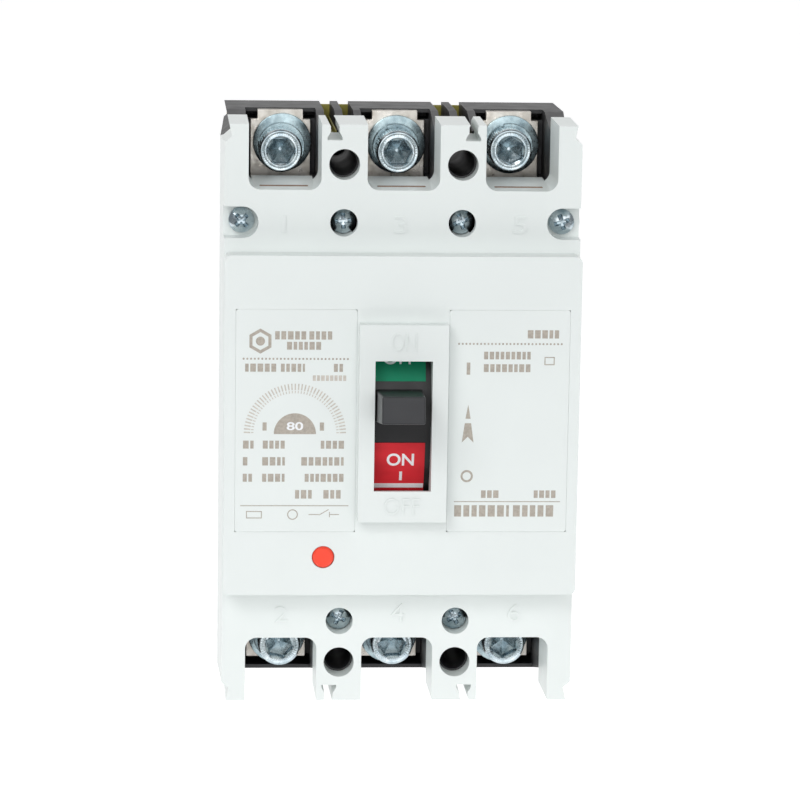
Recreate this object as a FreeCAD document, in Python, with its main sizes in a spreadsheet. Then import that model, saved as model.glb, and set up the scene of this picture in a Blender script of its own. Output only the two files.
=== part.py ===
import FreeCAD, Part
import math
import os
import re
import Sketcher

# Three-pole moulded case circuit breaker, 125 A frame.
# Frame: origin at the centre of the mounting-hole rectangle on the mounting plane,
# +X to the right, +Z up towards the line terminals, the front faces -Y.
# "Depth" is the distance forward of the mounting plane, so depth d lies at Y = -d.

DIMENSIONS = [
    # case
    ("case_width", 92.0, "width at the parting line"),
    ("case_length", 150.0, "overall length along Z"),
    ("back_width", 88.6, "width of the base at the back, after its draft"),
    ("front_width", 90.4, "width of the cover at its shoulder"),
    ("front_length", 149.2, "length of the cover at its shoulder"),
    ("plate_thick", 1.0, "rear insulating plate"),
    ("parting", 41.0, "depth of the joint between base and cover"),
    ("shoulder", 61.0, "depth of the cover around the terminals"),
    ("panel", 68.0, "depth of the raised panel"),
    ("escutcheon", 72.0, "depth of the handle escutcheon"),
    ("floor", 4.0, "depth of the base's inner floor"),
    ("shell", 3.0, "cover wall over the chambers"),
    ("panel_top", 42.2, "upper edge of the raised panel"),
    ("panel_bottom", -45.1, "lower edge of the raised panel"),
    ("panel_half", 45.1, "half the width of the raised panel"),
    ("panel_corner", 1.6, "corner radius of the raised panel"),
    # poles and terminal pockets
    ("pole_pitch", 30.0, "pole to pole"),
    ("chamber_half", 12.8, "half the inner width of a pole chamber"),
    ("chamber_end", 55.0, "end of the pole chambers"),
    ("pocket_half", 9.2, "half the width of a terminal pocket"),
    ("pocket_root", 58.0, "inner end of a terminal pocket"),
    ("pocket_floor", 21.0, "depth of the ledge under a terminal"),
    ("pocket_corner", 3.0, "corner radius at the pocket's inner end"),
    ("end_wall", 1.0, "wall at the open end of a terminal pocket"),
    ("wall_top", 26.0, "depth of that wall at the load end, and where the slopes start"),
    ("recess_root", 72.2, "inner end of the recess under a terminal's tongue"),
    ("recess_floor", 12.0, "depth of that recess"),
    ("wall_end", 71.0, "where the base's walls end at the parting line"),
    ("skirt_bottom", 36.0, "depth that the cover's skirts reach into the base"),
    ("skirt_out", 58.8, "outer face of a skirt at its lower edge"),
    ("gap_inner", 11.1, "inner edge of the gap between poles, from the middle pole"),
    ("gap_outer", 18.8, "outer edge of the gap between poles"),
    ("gap_root", 69.0, "how far the gap between poles runs in"),
    ("rib_half", 1.0, "half the rib between the two gaps"),
    ("liner_thick", 0.4, "insulating strip at the root of an outer gap"),
    ("liner_top", 40.0, "depth that the strips reach"),
    # mounting
    ("hole_x", 15.0, "mounting holes from the centre, across"),
    ("hole_z", 64.5, "mounting holes from the centre, along"),
    ("hole_r", 2.25, "mounting hole in the base"),
    ("access_r", 3.9, "mouth of the access bore"),
    ("access_step", 55.0, "depth of the step in the access bore"),
    ("passage_r", 3.45, "bore of the base's screw tube, below that step"),
    ("tube_r", 4.6, "outside of the base's screw tube"),
    ("hole_seat", 6.0, "depth of the mounting screw head's seat"),
    ("vent_low", 51.6, "lower edge of a vent in the pocket wall"),
    ("vent_high", 53.6, "upper edge of a vent in the pocket wall"),
    # barrier slots in the cover
    ("slot_x", 17.5, "barrier slot from the centre"),
    ("slot_neck", 1.1, "half the neck of the slot"),
    ("slot_foot", 1.9, "half the foot of the slot"),
    ("slot_root", 70.6, "inner end of the slot"),
    # notches in the four corners of the case
    ("notch_z", 69.9, "where the corner notch starts"),
    ("notch_deep", 2.2, "depth of the corner notch"),
    # cover screws
    ("screw_outer", 40.8, "outer cover screws from the centre"),
    ("screw_top", 49.7, "cover screws at the line end"),
    ("screw_bottom", -53.6, "cover screws at the load end"),
    ("screw_seat", 55.0, "depth of the screw head's seat"),
    ("screw_head_r", 3.3, "cover screw head"),
    ("screw_recess_r", 3.5, "recess around the screw head"),
    ("side_recess", 4.0, "half the width of an outer screw's recess, open to the side"),
    ("screw_head_tall", 2.2, "cover screw head height"),
    ("screw_shank_r", 1.6, "cover screw shank"),
    ("screw_end", 28.0, "depth that the cover screws reach"),
    ("cross_half", 0.45, "half the width of the cross recess"),
    ("cross_reach", 1.9, "half the length of the cross recess"),
    ("boss_r", 2.6, "boss in the base for an outer cover screw"),
    # lids
    ("lid_in", 11.7, "inner edge of an accessory lid"),
    ("lid_out", 42.3, "outer edge of an accessory lid"),
    ("lid_half", 28.6, "half the height of an accessory lid"),
    ("lid_thick", 1.2, "accessory lid"),
    ("lid_gap", 0.03, "gap around an accessory lid"),
    # handle
    ("pivot_depth", 30.0, "handle pivot"),
    ("escutcheon_x", 11.25, "half the escutcheon's width"),
    ("escutcheon_z", 25.3, "half the escutcheon's height"),
    ("window_x", 7.25, "half the window's width"),
    ("window_top", 16.1, "upper end of the window"),
    ("window_bottom", -17.3, "lower end of the window"),
    ("window_slope", 2.4, "how far the window's lower face falls away behind"),
    ("shield_r", 38.3, "outer radius of the handle's curved shield"),
    ("shield_thick", 1.5, "curved shield"),
    ("shield_x", 8.4, "half the shield's width"),
    ("shield_angle", 43.0, "half the angle that the shield covers"),
    ("shield_clear", 0.5, "clearance in front of the shield"),
    ("handle_tip", 56.0, "radius of the handle's tip"),
    ("handle_off", -0.9, "how far the toggle sits off the middle"),
    ("handle_x", 5.4, "half the handle's width at its tip"),
    ("handle_root_x", 6.0, "half the handle's width at the shield"),
    ("handle_z", 3.45, "half the handle's height at its tip"),
    ("handle_root_z", 4.2, "half the handle's height at the shield"),
    ("handle_round", 0.5, "rounding of the handle's edges"),
    ("trip_angle", 6.05, "handle angle above the middle when tripped"),
    ("label_thick", 0.15, "printed label on the shield"),
    ("label_left", -7.0, "left edge of the labels"),
    ("label_right", 5.9, "right edge of the labels"),
    ("arm_in", 9.8, "inner face of the handle arm's cheeks"),
    ("arm_thick", 1.2, "handle arm sheet"),
    ("bridge_r", 29.0, "inner radius of the handle arm's bridge"),
    ("bridge_half", 5.0, "half the bridge's height"),
    # terminals and fasteners
    ("strap_thick", 3.0, "terminal strap"),
    ("strap_half", 7.85, "half the strap's width"),
    ("tongue_half", 5.95, "half the width of the strap's end"),
    ("tongue_long", 2.4, "length of the narrow end"),
    ("strap_end", 74.7, "outer end of the straps"),
    ("line_inner", 33.0, "inner end of a line strap"),
    ("load_inner", -48.0, "inner end of a load strap"),
    ("bolt_z", 66.0, "terminal bolts from the centre"),
    ("bolt_r", 4.0, "terminal bolt thread"),
    ("bolt_hole_r", 4.3, "hole in the strap"),
    ("head_r", 5.6, "terminal bolt head"),
    ("head_tall", 8.0, "terminal bolt head"),
    ("head_chamfer", 0.3, "edge of the bolt head"),
    ("hex_across", 6.3, "across the flats of the bolt's socket"),
    ("hex_deep", 4.0, "depth of the bolt's socket"),
    ("bolt_end", 9.0, "depth of the bolt's lower end"),
    ("flat_r", 7.6, "flat washer"),
    ("flat_thick", 1.4, "flat washer"),
    ("spring_r", 6.1, "spring washer"),
    ("spring_thick", 2.0, "spring washer"),
    ("spring_split", 1.0, "split in the spring washer"),
    ("nut_across", 11.8, "terminal nut across flats"),
    ("nut_tall", 6.5, "terminal nut"),
    ("nut_gap", 0.1, "clearance around the nut"),
    # contacts and arc chutes
    ("shaft_depth", 18.0, "contact shaft axis"),
    ("shaft_z", 4.0, "contact shaft axis"),
    ("shaft_r", 7.5, "contact shaft"),
    ("shaft_core_r", 4.0, "contact shaft inside the mechanism"),
    ("shaft_half", 42.4, "half the contact shaft's length"),
    ("contact_half", 2.5, "half a contact arm's thickness"),
    ("open_angle", 22.0, "angle between open and closed contacts"),
    ("fixed_pad", 1.8, "fixed contact thickness"),
    ("pad_low", 37.6, "lower edge of the fixed contact"),
    ("pad_high", 43.2, "upper edge of the fixed contact"),
    ("chute_low", 36.6, "lower end of an arc chute"),
    ("chute_high", 53.6, "upper end of an arc chute"),
    ("chute_first", 30.0, "depth of the first arc plate"),
    ("chute_pitch", 3.1, "arc plate to arc plate"),
    ("chute_plate", 1.2, "arc plate"),
    ("chute_half", 7.2, "half an arc plate's width"),
    ("throat_half", 3.8, "half the throat cut in an arc plate"),
    ("throat_end", 48.0, "inner end of the throat"),
    ("board_thick", 0.9, "arc chute side board"),
    # linkage
    ("link_thick", 1.0, "link plates"),
    ("lower_in", 2.9, "inner face of the lower links"),
    ("upper_in", 4.3, "inner face of the upper links"),
    ("cradle_in", 6.0, "inner face of the cradle's cheeks"),
    ("frame_in", 8.0, "inner face of the mechanism frame"),
    ("pin_r", 1.5, "mechanism pins"),
    ("pin_fit", 0.05, "running clearance around a pin"),
    ("link_half", 2.6, "half the width of a link"),
    ("crank_y", 6.71, "link pin forward of the shaft axis, contacts open"),
    ("crank_z", 8.07, "link pin above the shaft axis, contacts open"),
    ("lower_long", 18.07, "lower link, pin to pin"),
    ("lower_angle", -21.65, "lower link's angle when tripped"),
    ("upper_long", 14.09, "upper link, pin to pin"),
    ("upper_angle", 235.4, "upper link's angle when tripped"),
    ("upper_depth", 49.5, "pin of the upper link in the cradle"),
    ("upper_z", 17.0, "pin of the upper link in the cradle"),
    ("cradle_depth", 46.0, "cradle pivot"),
    ("cradle_z", 25.0, "cradle pivot"),
    ("spring_wire", 0.45, "main spring wire radius"),
    ("spring_coil", 1.7, "main spring mean radius"),
    ("spring_x", 2.4, "main springs from the middle"),
    # trip unit
    ("bar_depth", 50.0, "trip bar axis"),
    ("bar_z", -42.0, "trip bar axis"),
    ("bar_r", 2.5, "trip bar"),
    ("bar_half", 42.2, "half the trip bar's length"),
    ("button_x", -19.7, "test button"),
    ("button_z", -35.2, "test button"),
    ("button_r", 2.75, "test button cap"),
    ("button_stem_r", 1.5, "test button stem"),
    ("button_proud", 0.3, "how far the cap stands out"),
    ("button_tip", 51.25, "depth of the stem's end at rest"),
    ("guide_depth", 55.0, "underside of the button's guide"),
    ("guide_half", 3.2, "half the button guide's width"),
    ("on_high", -14.3, "upper edge of the red label, from the handle"),
    ("on_low", -38.0, "lower edge of the red label, from the handle"),
    ("off_low", 9.3, "lower edge of the green label, from the handle"),
    ("off_high", 34.0, "upper edge of the green label, from the handle"),
    ("armature_depth", 23.0, "armature pivot"),
    ("armature_z", -31.0, "armature pivot"),
    ("armature_pin_r", 1.0, "armature pin"),
    ("armature_half", 4.9, "half the armature's width"),
    ("yoke_in", 5.2, "inner face of the yoke's legs"),
    ("yoke_out", 6.6, "outer face of the yoke's legs"),
    ("latch_depth", 35.5, "trip latch pivot"),
    ("latch_z", -22.0, "trip latch pivot"),
]
POLES = (-1, 0, 1)
SIDES = (-1, 1)
ENDS = (1, -1)

doc = FreeCAD.newDocument("breaker")
sheet = doc.addObject("Spreadsheet::Sheet", "dims")
for row, (alias, size, note) in enumerate(DIMENSIONS, start=1):
    sheet.set(f"A{row}", note)
    sheet.set(f"B{row}", str(size))
    sheet.setAlias(f"B{row}", alias)
doc.recompute()
ALIASES = {alias for alias, size, note in DIMENSIONS}
nodes = []


# ---------------------------------------------------------------- helpers

def bound(text):
    """An expression with every bare alias pointed at the sheet."""
    def point(match):
        word = match.group()
        return "dims." + word if word in ALIASES else word
    return re.sub(r"[a-z_]+", point, str(text))


def bind(thing, **sizes):
    """Binds properties to expressions; a double underscore stands for a dot."""
    for name, text in sizes.items():
        thing.setExpression(name.replace("__", "."), bound(text))


def keep(thing, label):
    """Gives a finished sub-part its label and puts it in the hand-in list."""
    thing.Label = label
    nodes.append(thing)
    return thing


def mirrored(limits):
    """The pair of limits on the other side of zero."""
    low, high = limits
    return (f"-({high})", f"-({low})")


def about(centre, half):
    """Limits that lie evenly about a centre."""
    return (f"({centre}) - ({half})", f"({centre}) + ({half})")


def pole(number):
    """Centre of a pole across the case."""
    return f"{number} * pole_pitch"


def at_end(end, limits):
    """Limits along Z at the line end (1) or the load end (-1)."""
    return limits if end > 0 else mirrored(limits)


# ---------------------------------------------------------------- part primitives

def block(name, x, depth, z):
    """A box between three pairs of limits."""
    box = doc.addObject("Part::Box", name)
    bind(box, Length=f"({x[1]}) - ({x[0]})", Width=f"({depth[1]}) - ({depth[0]})",
         Height=f"({z[1]}) - ({z[0]})", Placement__Base__x=x[0],
         Placement__Base__y=f"-({depth[1]})", Placement__Base__z=z[0])
    return box


def rod_across(name, depth, z, radius, x):
    """A cylinder across the poles."""
    rod = doc.addObject("Part::Cylinder", name)
    rod.Placement.Rotation = FreeCAD.Rotation(FreeCAD.Vector(0, 1, 0), 90)
    bind(rod, Radius=radius, Height=f"({x[1]}) - ({x[0]})",
         Placement__Base__x=x[0], Placement__Base__y=f"-({depth})", Placement__Base__z=z)
    return rod


def join(name, pieces):
    """Several shapes made one."""
    fused = doc.addObject("Part::MultiFuse", name)
    fused.Shapes = pieces
    return fused


def carve(name, base, tools):
    """A shape with others taken out of it."""
    cut = doc.addObject("Part::Cut", name)
    cut.Base = base
    cut.Tool = tools[0] if len(tools) == 1 else join(name + "_tools", tools)
    return cut


def group(label, pieces):
    """Separate like solids that share one node."""
    bundle = doc.addObject("Part::Compound", label)
    bundle.Links = pieces
    return keep(bundle, label)


def copy_at(name, source, x="0", y="0", z="0"):
    """A linked copy of a shape, moved."""
    link = doc.addObject("App::Link", name)
    link.LinkedObject = source
    bind(link, Placement__Base__x=x, Placement__Base__y=y, Placement__Base__z=z)
    return link


# ---------------------------------------------------------------- sketches and features

def new_body(name):
    return doc.addObject("PartDesign::Body", name)


def sketch_on(body, name, role, offset):
    """A sketch parallel to one of the body's own origin planes."""
    drawing = body.newObject("Sketcher::SketchObject", name)
    planes = [item for item in body.Origin.OriginFeatures if item.Role == role]
    drawing.AttachmentSupport = [(planes[0], "")]
    drawing.MapMode = "FlatFace"
    bind(drawing, AttachmentOffset__Base__z=offset)
    return drawing


def tie(drawing, kind, geometry, point, text):
    """Drives one coordinate of one sketch point."""
    index = drawing.addConstraint(Sketcher.Constraint(kind, geometry, point, 1.0))
    bind(drawing, **{f"Constraints[{index}]": text})


def outline(drawing, corners):
    """A closed polygon through corners given as pairs of expressions."""
    count = len(corners)
    first = drawing.GeometryCount
    rough = [FreeCAD.Vector(math.cos(2 * math.pi * i / count), math.sin(2 * math.pi * i / count), 0)
             for i in range(count)]
    for i in range(count):
        drawing.addGeometry(Part.LineSegment(rough[i], rough[(i + 1) % count]))
    for i in range(count):
        following = first + (i + 1) % count
        drawing.addConstraint(Sketcher.Constraint("Coincident", first + i, 2, following, 1))
    for i, (across, along) in enumerate(corners):
        tie(drawing, "DistanceX", first + i, 1, across)
        tie(drawing, "DistanceY", first + i, 1, along)


def rectangle(drawing, across, along):
    outline(drawing, [(across[0], along[0]), (across[1], along[0]),
                      (across[1], along[1]), (across[0], along[1])])


def circle(drawing, across, along, radius):
    """A circle driven by expressions for its centre and radius."""
    ring = Part.Circle(FreeCAD.Vector(1, 1, 0), FreeCAD.Vector(0, 0, 1), 1.0)
    index = drawing.addGeometry(ring)
    tie(drawing, "DistanceX", index, 3, across)
    tie(drawing, "DistanceY", index, 3, along)
    size = drawing.addConstraint(Sketcher.Constraint("Radius", index, 1.0))
    bind(drawing, **{f"Constraints[{size}]": radius})


def pad(body, name, role, limits, draw):
    """Adds material between two distances along a plane's normal."""
    drawing = sketch_on(body, name + "_sketch", role, limits[0])
    draw(drawing)
    feature = body.newObject("PartDesign::Pad", name)
    feature.Profile = drawing
    bind(feature, Length=f"({limits[1]}) - ({limits[0]})")
    return feature


def pocket(body, name, role, limits, draw):
    """Removes material between two distances along a plane's normal."""
    drawing = sketch_on(body, name + "_sketch", role, limits[1])
    draw(drawing)
    feature = body.newObject("PartDesign::Pocket", name)
    feature.Profile = drawing
    bind(feature, Length=f"({limits[1]}) - ({limits[0]})")
    return feature


def revolve(body, name, corners):
    """A solid of revolution about the body's own Y axis, pointing forward."""
    drawing = sketch_on(body, name + "_sketch", "XY_Plane", "0")
    outline(drawing, corners)
    feature = body.newObject("PartDesign::Revolution", name)
    feature.Profile = drawing
    feature.ReferenceAxis = (drawing, ["V_Axis"])
    feature.Angle = 360
    return feature


def round_edges(body, name, base, radius, chosen):
    """Fillets the edges of the last feature that a test picks out."""
    doc.recompute()
    edges = [f"Edge{i}" for i, edge in enumerate(base.Shape.Edges, start=1) if chosen(edge)]
    fillet = body.newObject("PartDesign::Fillet", name)
    fillet.Base = (base, edges)
    bind(fillet, Radius=radius)
    doc.recompute()
    return fillet


def size(alias):
    """The present value of a cell."""
    return sheet.get(alias)


def near(value, target, slack=0.05):
    return abs(value - target) < slack


def runs_along(edge, axis):
    """Whether a straight edge runs along an axis (0, 1 or 2)."""
    if len(edge.Vertexes) != 2:
        return False
    span = edge.Vertexes[1].Point - edge.Vertexes[0].Point
    return all(abs(span[other]) < 0.01 for other in range(3) if other != axis)


def side_plate(name, corners, x, holes=()):
    """A flat plate in the side view: corners and holes as (depth, z) expressions."""
    body = new_body(name)

    def draw(drawing):
        outline(drawing, [(f"-({depth})", z) for depth, z in corners])
        for depth, z, radius in holes:
            circle(drawing, f"-({depth})", z, radius)
    pad(body, name + "_pad", "YZ_Plane", x, draw)
    return body


def turned(thing, depth, z, angle):
    """Stands a part drawn about its own pin at a place, turned up by an angle."""
    thing.Placement.Rotation = FreeCAD.Rotation(FreeCAD.Vector(-1, 0, 0), 1)
    bind(thing, Placement__Base__y=f"-({depth})", Placement__Base__z=z,
         Placement__Rotation__Angle=angle)
    return thing


# ---------------------------------------------------------------- housing

def base():
    """The moulded back half: pole chambers, terminal pockets and mounting holes."""
    body = new_body("base")
    front, back = "case_width / 2", "back_width / 2"

    def section(drawing):
        outline(drawing, [(f"-{back}", "-plate_thick"), (f"-{front}", "-parting"),
                          (front, "-parting"), (back, "-plate_thick")])
    pad(body, "base_block", "XY_Plane", ("-case_length / 2", "case_length / 2"), section)

    def chambers(drawing):
        for number in POLES:
            rectangle(drawing, about(pole(number), "chamber_half"), ("-chamber_end", "chamber_end"))
    pocket(body, "base_chambers", "XZ_Plane", ("floor", "parting"), chambers)

    def bosses(drawing):
        for side in SIDES:
            circle(drawing, f"{side} * screw_outer", "screw_top", "boss_r")
    pad(body, "base_bosses", "XZ_Plane", ("floor - 1", "parting"), bosses)

    def pockets(drawing):
        for number in POLES:
            for end in ENDS:
                rectangle(drawing, about(pole(number), "pocket_half"),
                          at_end(end, ("pocket_root", "case_length / 2 + 1")))
    pocket(body, "base_pockets", "XZ_Plane", ("pocket_floor", "parting"), pockets)

    def tongue_recesses(drawing):
        for number in POLES:
            for end in ENDS:
                rectangle(drawing, about(pole(number), "pocket_half"),
                          at_end(end, ("recess_root", "case_length / 2 - end_wall")))
    pocket(body, "base_tongue_recesses", "XZ_Plane", ("recess_floor", "pocket_floor + 1"),
           tongue_recesses)

    def load_walls(drawing):
        for number in POLES:
            rectangle(drawing, about(pole(number), "pocket_half"),
                      ("-case_length / 2", "end_wall - case_length / 2"))
    pad(body, "base_load_walls", "XZ_Plane", ("pocket_floor - 1", "wall_top"), load_walls)

    def sloping_ends(drawing):
        for end in ENDS:
            outline(drawing, [("-wall_top", f"{end} * case_length / 2"),
                              ("-parting - 1", f"{end} * wall_end"),
                              ("-parting - 1", f"{end} * (case_length / 2 + 1)"),
                              ("-wall_top", f"{end} * (case_length / 2 + 1)")])
    pocket(body, "base_sloping_ends", "YZ_Plane", ("-case_width / 2", "case_width / 2"), sloping_ends)

    def strap_ways(drawing):
        for number in POLES:
            for end in ENDS:
                rectangle(drawing, about(pole(number), "strap_half + 0.3"),
                          at_end(end, ("chamber_end - 1", "pocket_root + 1")))
    pocket(body, "base_strap_ways", "XZ_Plane", ("pocket_floor", "parting"), strap_ways)

    def nut_seats(drawing):
        for number in POLES:
            for end in ENDS:
                rectangle(drawing, about(pole(number), "nut_across / 2 + nut_gap"),
                          at_end(end, about("bolt_z", "nut_across / 2 + nut_gap")))
    pocket(body, "base_nut_seats", "XZ_Plane", ("pocket_floor - nut_tall", "pocket_floor + 0.5"),
           nut_seats)

    def bolt_wells(drawing):
        for number in POLES:
            for end in ENDS:
                circle(drawing, pole(number), f"{end} * bolt_z", "bolt_hole_r")
    pocket(body, "base_bolt_wells", "XZ_Plane", ("bolt_end - 1", "pocket_floor - 1"), bolt_wells)

    def gaps(drawing):
        for side in SIDES:
            for end in ENDS:
                reach = at_end(end, ("gap_root", "case_length / 2 + 1"))
                rib = about("pole_pitch / 2", "rib_half")
                for limits in (("gap_inner", rib[0]), (rib[1], "gap_outer")):
                    rectangle(drawing, limits if side > 0 else mirrored(limits), reach)
    pocket(body, "base_gaps", "XZ_Plane", ("plate_thick - 1", "parting"), gaps)

    def tubes(drawing):
        for side in SIDES:
            for end in ENDS:
                circle(drawing, f"{side} * hole_x", f"{end} * hole_z", "tube_r")
    pad(body, "base_tubes", "XZ_Plane", ("parting - 1", "access_step - 0.1"), tubes)

    def mounting(drawing):
        for side in SIDES:
            for end in ENDS:
                circle(drawing, f"{side} * hole_x", f"{end} * hole_z", "hole_r")
    pocket(body, "base_mounting", "XZ_Plane", ("plate_thick - 1", "hole_seat + 1"), mounting)

    def screw_ways(drawing):
        for side in SIDES:
            for end in ENDS:
                circle(drawing, f"{side} * hole_x", f"{end} * hole_z", "passage_r")
    pocket(body, "base_screw_ways", "XZ_Plane", ("hole_seat", "access_step"), screw_ways)

    def corner_notches(drawing):
        for side in SIDES:
            for end in ENDS:
                notch(drawing, side, end)
    pocket(body, "base_corner_notches", "XZ_Plane", ("plate_thick - 1", "parting"), corner_notches)

    def pilots(drawing):
        for x, z in screw_places():
            circle(drawing, x, z, "screw_shank_r + pin_fit")
    pocket(body, "base_pilots", "XZ_Plane", ("screw_end - 1", "parting"), pilots)

    def shaft_way(drawing):
        outline(drawing, [("-parting - 1", "shaft_z - shaft_r - 0.7"),
                          ("-shaft_depth + shaft_r + 0.7", "shaft_z - shaft_r - 0.7"),
                          ("-shaft_depth + shaft_r + 0.7", "shaft_z + shaft_r + 0.7"),
                          ("-parting - 1", "shaft_z + shaft_r + 0.7")])
    pocket(body, "base_shaft_way", "YZ_Plane", ("-shaft_half - 0.3", "shaft_half + 0.3"), shaft_way)
    return keep(body, "base")


def screw_places():
    """Centres of the six cover screws."""
    inner = [(f"{side} * hole_x", z) for side in SIDES for z in ("screw_top", "screw_bottom")]
    outer = [(f"{side} * screw_outer", "screw_top") for side in SIDES]
    return inner + outer


def rear_plate():
    """The insulating sheet on the back, open at the mounting holes."""
    body = new_body("rear_insulating_plate")

    def sheet_outline(drawing):
        rectangle(drawing, about("0", "back_width / 2 - 0.8"), about("0", "case_length / 2 - 0.9"))
        for side in SIDES:
            for end in ENDS:
                circle(drawing, f"{side} * hole_x", f"{end} * hole_z", "hole_r + 0.35")
    pad(body, "plate_pad", "XZ_Plane", ("0", "plate_thick"), sheet_outline)
    return keep(body, "rear_insulating_plate")


def gap_liners():
    """Insulating strips in the outer gaps between poles: across the root and along the rib."""
    inner = "pole_pitch / 2 + rib_half"
    strips = []
    for side in SIDES:
        for end in ENDS:
            shapes = [((f"{inner} + 0.1", "gap_outer - 0.1"),
                       ("gap_root + 0.03", "gap_root + liner_thick")),
                      ((f"{inner} + 0.03", f"{inner} + liner_thick"),
                       ("gap_root + liner_thick + 0.1", "wall_end"))]
            for across, along in shapes:
                strips.append(block(f"gap_liner_{len(strips)}", across if side > 0 else mirrored(across),
                                    ("plate_thick", "liner_top"), at_end(end, along)))
    group("gap_liners", strips)


def cover():
    """The moulded front half with its panel, escutcheon and openings."""
    body = new_body("cover")
    lower = sketch_on(body, "cover_parting_sketch", "XZ_Plane", "parting")
    rectangle(lower, about("0", "case_width / 2"), about("0", "case_length / 2"))
    upper = sketch_on(body, "cover_shoulder_sketch", "XZ_Plane", "shoulder")
    rectangle(upper, about("0", "front_width / 2"), about("0", "front_length / 2"))
    shell = body.newObject("PartDesign::AdditiveLoft", "cover_shell")
    shell.Profile = lower
    shell.Sections = [upper]
    shell.Ruled = True

    def panel(drawing):
        rectangle(drawing, about("0", "panel_half"), ("panel_bottom", "panel_top"))
    raised = pad(body, "cover_panel", "XZ_Plane", ("shoulder - 1", "panel"), panel)
    half, low, high = size("panel_half"), size("panel_bottom"), size("panel_top")

    def panel_corner(edge):
        middle = edge.CenterOfMass
        at_corner = near(abs(middle.x), half) and (near(middle.z, low) or near(middle.z, high))
        return runs_along(edge, 1) and at_corner
    round_edges(body, "cover_panel_corners", raised, "panel_corner", panel_corner)

    def escutcheon(drawing):
        rectangle(drawing, about("0", "escutcheon_x"), about("0", "escutcheon_z"))
    pad(body, "cover_escutcheon", "XZ_Plane", ("panel - 1", "escutcheon"), escutcheon)

    def chambers(drawing):
        for number in POLES:
            rectangle(drawing, about(pole(number), "chamber_half"),
                      ("-chamber_end + 1", "chamber_end - 1"))
    pocket(body, "cover_chambers", "XZ_Plane", ("parting", "shoulder - shell"), chambers)

    def upper_chambers(drawing):
        for number in POLES:
            rectangle(drawing, about(pole(number), "chamber_half"),
                      ("panel_bottom + shell", "panel_top - shell"))
    pocket(body, "cover_upper_chambers", "XZ_Plane", ("shoulder - shell - 1", "panel - shell"),
           upper_chambers)

    def shield_room(drawing):
        circle(drawing, "-pivot_depth", "0", "shield_r + shield_clear")
    pocket(body, "cover_shield_room", "YZ_Plane", ("-shield_x - 0.4", "shield_x + 0.4"), shield_room)

    def window(drawing):
        outline(drawing, [("-escutcheon", "window_bottom"), ("-escutcheon", "window_top"),
                          ("shell - shoulder", "window_top"),
                          ("shell - shoulder", "window_bottom - window_slope")])
    pocket(body, "cover_window", "YZ_Plane", about("0", "window_x"), window)

    def bar_way(drawing):
        rectangle(drawing, ("-bar_depth - bar_r - 1.2", "-parting + 1"), about("bar_z", "bar_r + 1.2"))
    pocket(body, "cover_bar_way", "YZ_Plane", ("-bar_half - 0.4", "bar_half + 0.4"), bar_way)

    def screw_bosses(drawing):
        for side in SIDES:
            circle(drawing, f"{side} * screw_outer", "screw_top", "side_recess + 0.8")
    pad(body, "cover_screw_bosses", "XZ_Plane", ("screw_seat - 1.5", "shoulder - shell + 1"),
        screw_bosses)

    def pockets(drawing):
        for number in POLES:
            for end in ENDS:
                rectangle(drawing, about(pole(number), "pocket_half"),
                          at_end(end, ("pocket_root", "case_length / 2 + 1")))
    open_ends = pocket(body, "cover_pockets", "XZ_Plane", ("parting", "shoulder"), pockets)
    root = size("pocket_root")

    def pocket_corner(edge):
        middle = edge.CenterOfMass
        offset = abs(middle.x) % size("pole_pitch")
        beside = near(offset, size("pocket_half")) or near(offset, size("pole_pitch") - size("pocket_half"))
        return runs_along(edge, 1) and near(abs(middle.z), root) and beside
    round_edges(body, "cover_pocket_corners", open_ends, "pocket_corner", pocket_corner)

    def skirt(drawing):
        for end in ENDS:
            outline(drawing, [("-skirt_bottom", f"{end} * (chamber_end + 0.3)"),
                              ("-skirt_bottom", f"{end} * skirt_out"),
                              ("-access_step", f"{end} * pocket_root"),
                              ("-access_step", f"{end} * (chamber_end + 0.3)")])
    for number in POLES:
        pad(body, f"cover_skirts_{number + 2}", "YZ_Plane", about(pole(number), "strap_half"), skirt)

    def vents(drawing):
        for number in POLES:
            rectangle(drawing, about(pole(number), "pocket_half - pocket_corner"),
                      about("0", "pocket_root + 0.5"))
    pocket(body, "cover_vents", "XZ_Plane", ("vent_low", "vent_high"), vents)

    def slots(drawing):
        for side in SIDES:
            for end in ENDS:
                barrier_slot(drawing, side, end)
    pocket(body, "cover_slots", "XZ_Plane", ("parting", "shoulder"), slots)

    def access(drawing):
        for side in SIDES:
            for end in ENDS:
                circle(drawing, f"{side} * hole_x", f"{end} * hole_z", "access_r")
    pocket(body, "cover_access", "XZ_Plane", ("access_step", "shoulder"), access)

    def tube_ways(drawing):
        for side in SIDES:
            for end in ENDS:
                circle(drawing, f"{side} * hole_x", f"{end} * hole_z", "tube_r + 0.1")
    pocket(body, "cover_tube_ways", "XZ_Plane", ("parting", "access_step"), tube_ways)

    def recesses(drawing):
        for x, z in screw_places():
            circle(drawing, x, z, "screw_recess_r")
    pocket(body, "cover_recesses", "XZ_Plane", ("screw_seat", "shoulder"), recesses)

    def side_recesses(drawing):
        for side in SIDES:
            limits = ("screw_outer", "case_width / 2 + 1")
            rectangle(drawing, limits if side > 0 else mirrored(limits),
                      about("screw_top", "side_recess"))
            circle(drawing, f"{side} * (screw_outer - 0.2)", "screw_top", "side_recess")
    pocket(body, "cover_side_recesses", "XZ_Plane", ("screw_seat", "shoulder"), side_recesses)

    def shanks(drawing):
        for x, z in screw_places():
            circle(drawing, x, z, "screw_shank_r + 0.2")
    pocket(body, "cover_shank_holes", "XZ_Plane", ("parting", "screw_seat + 1"), shanks)

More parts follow.
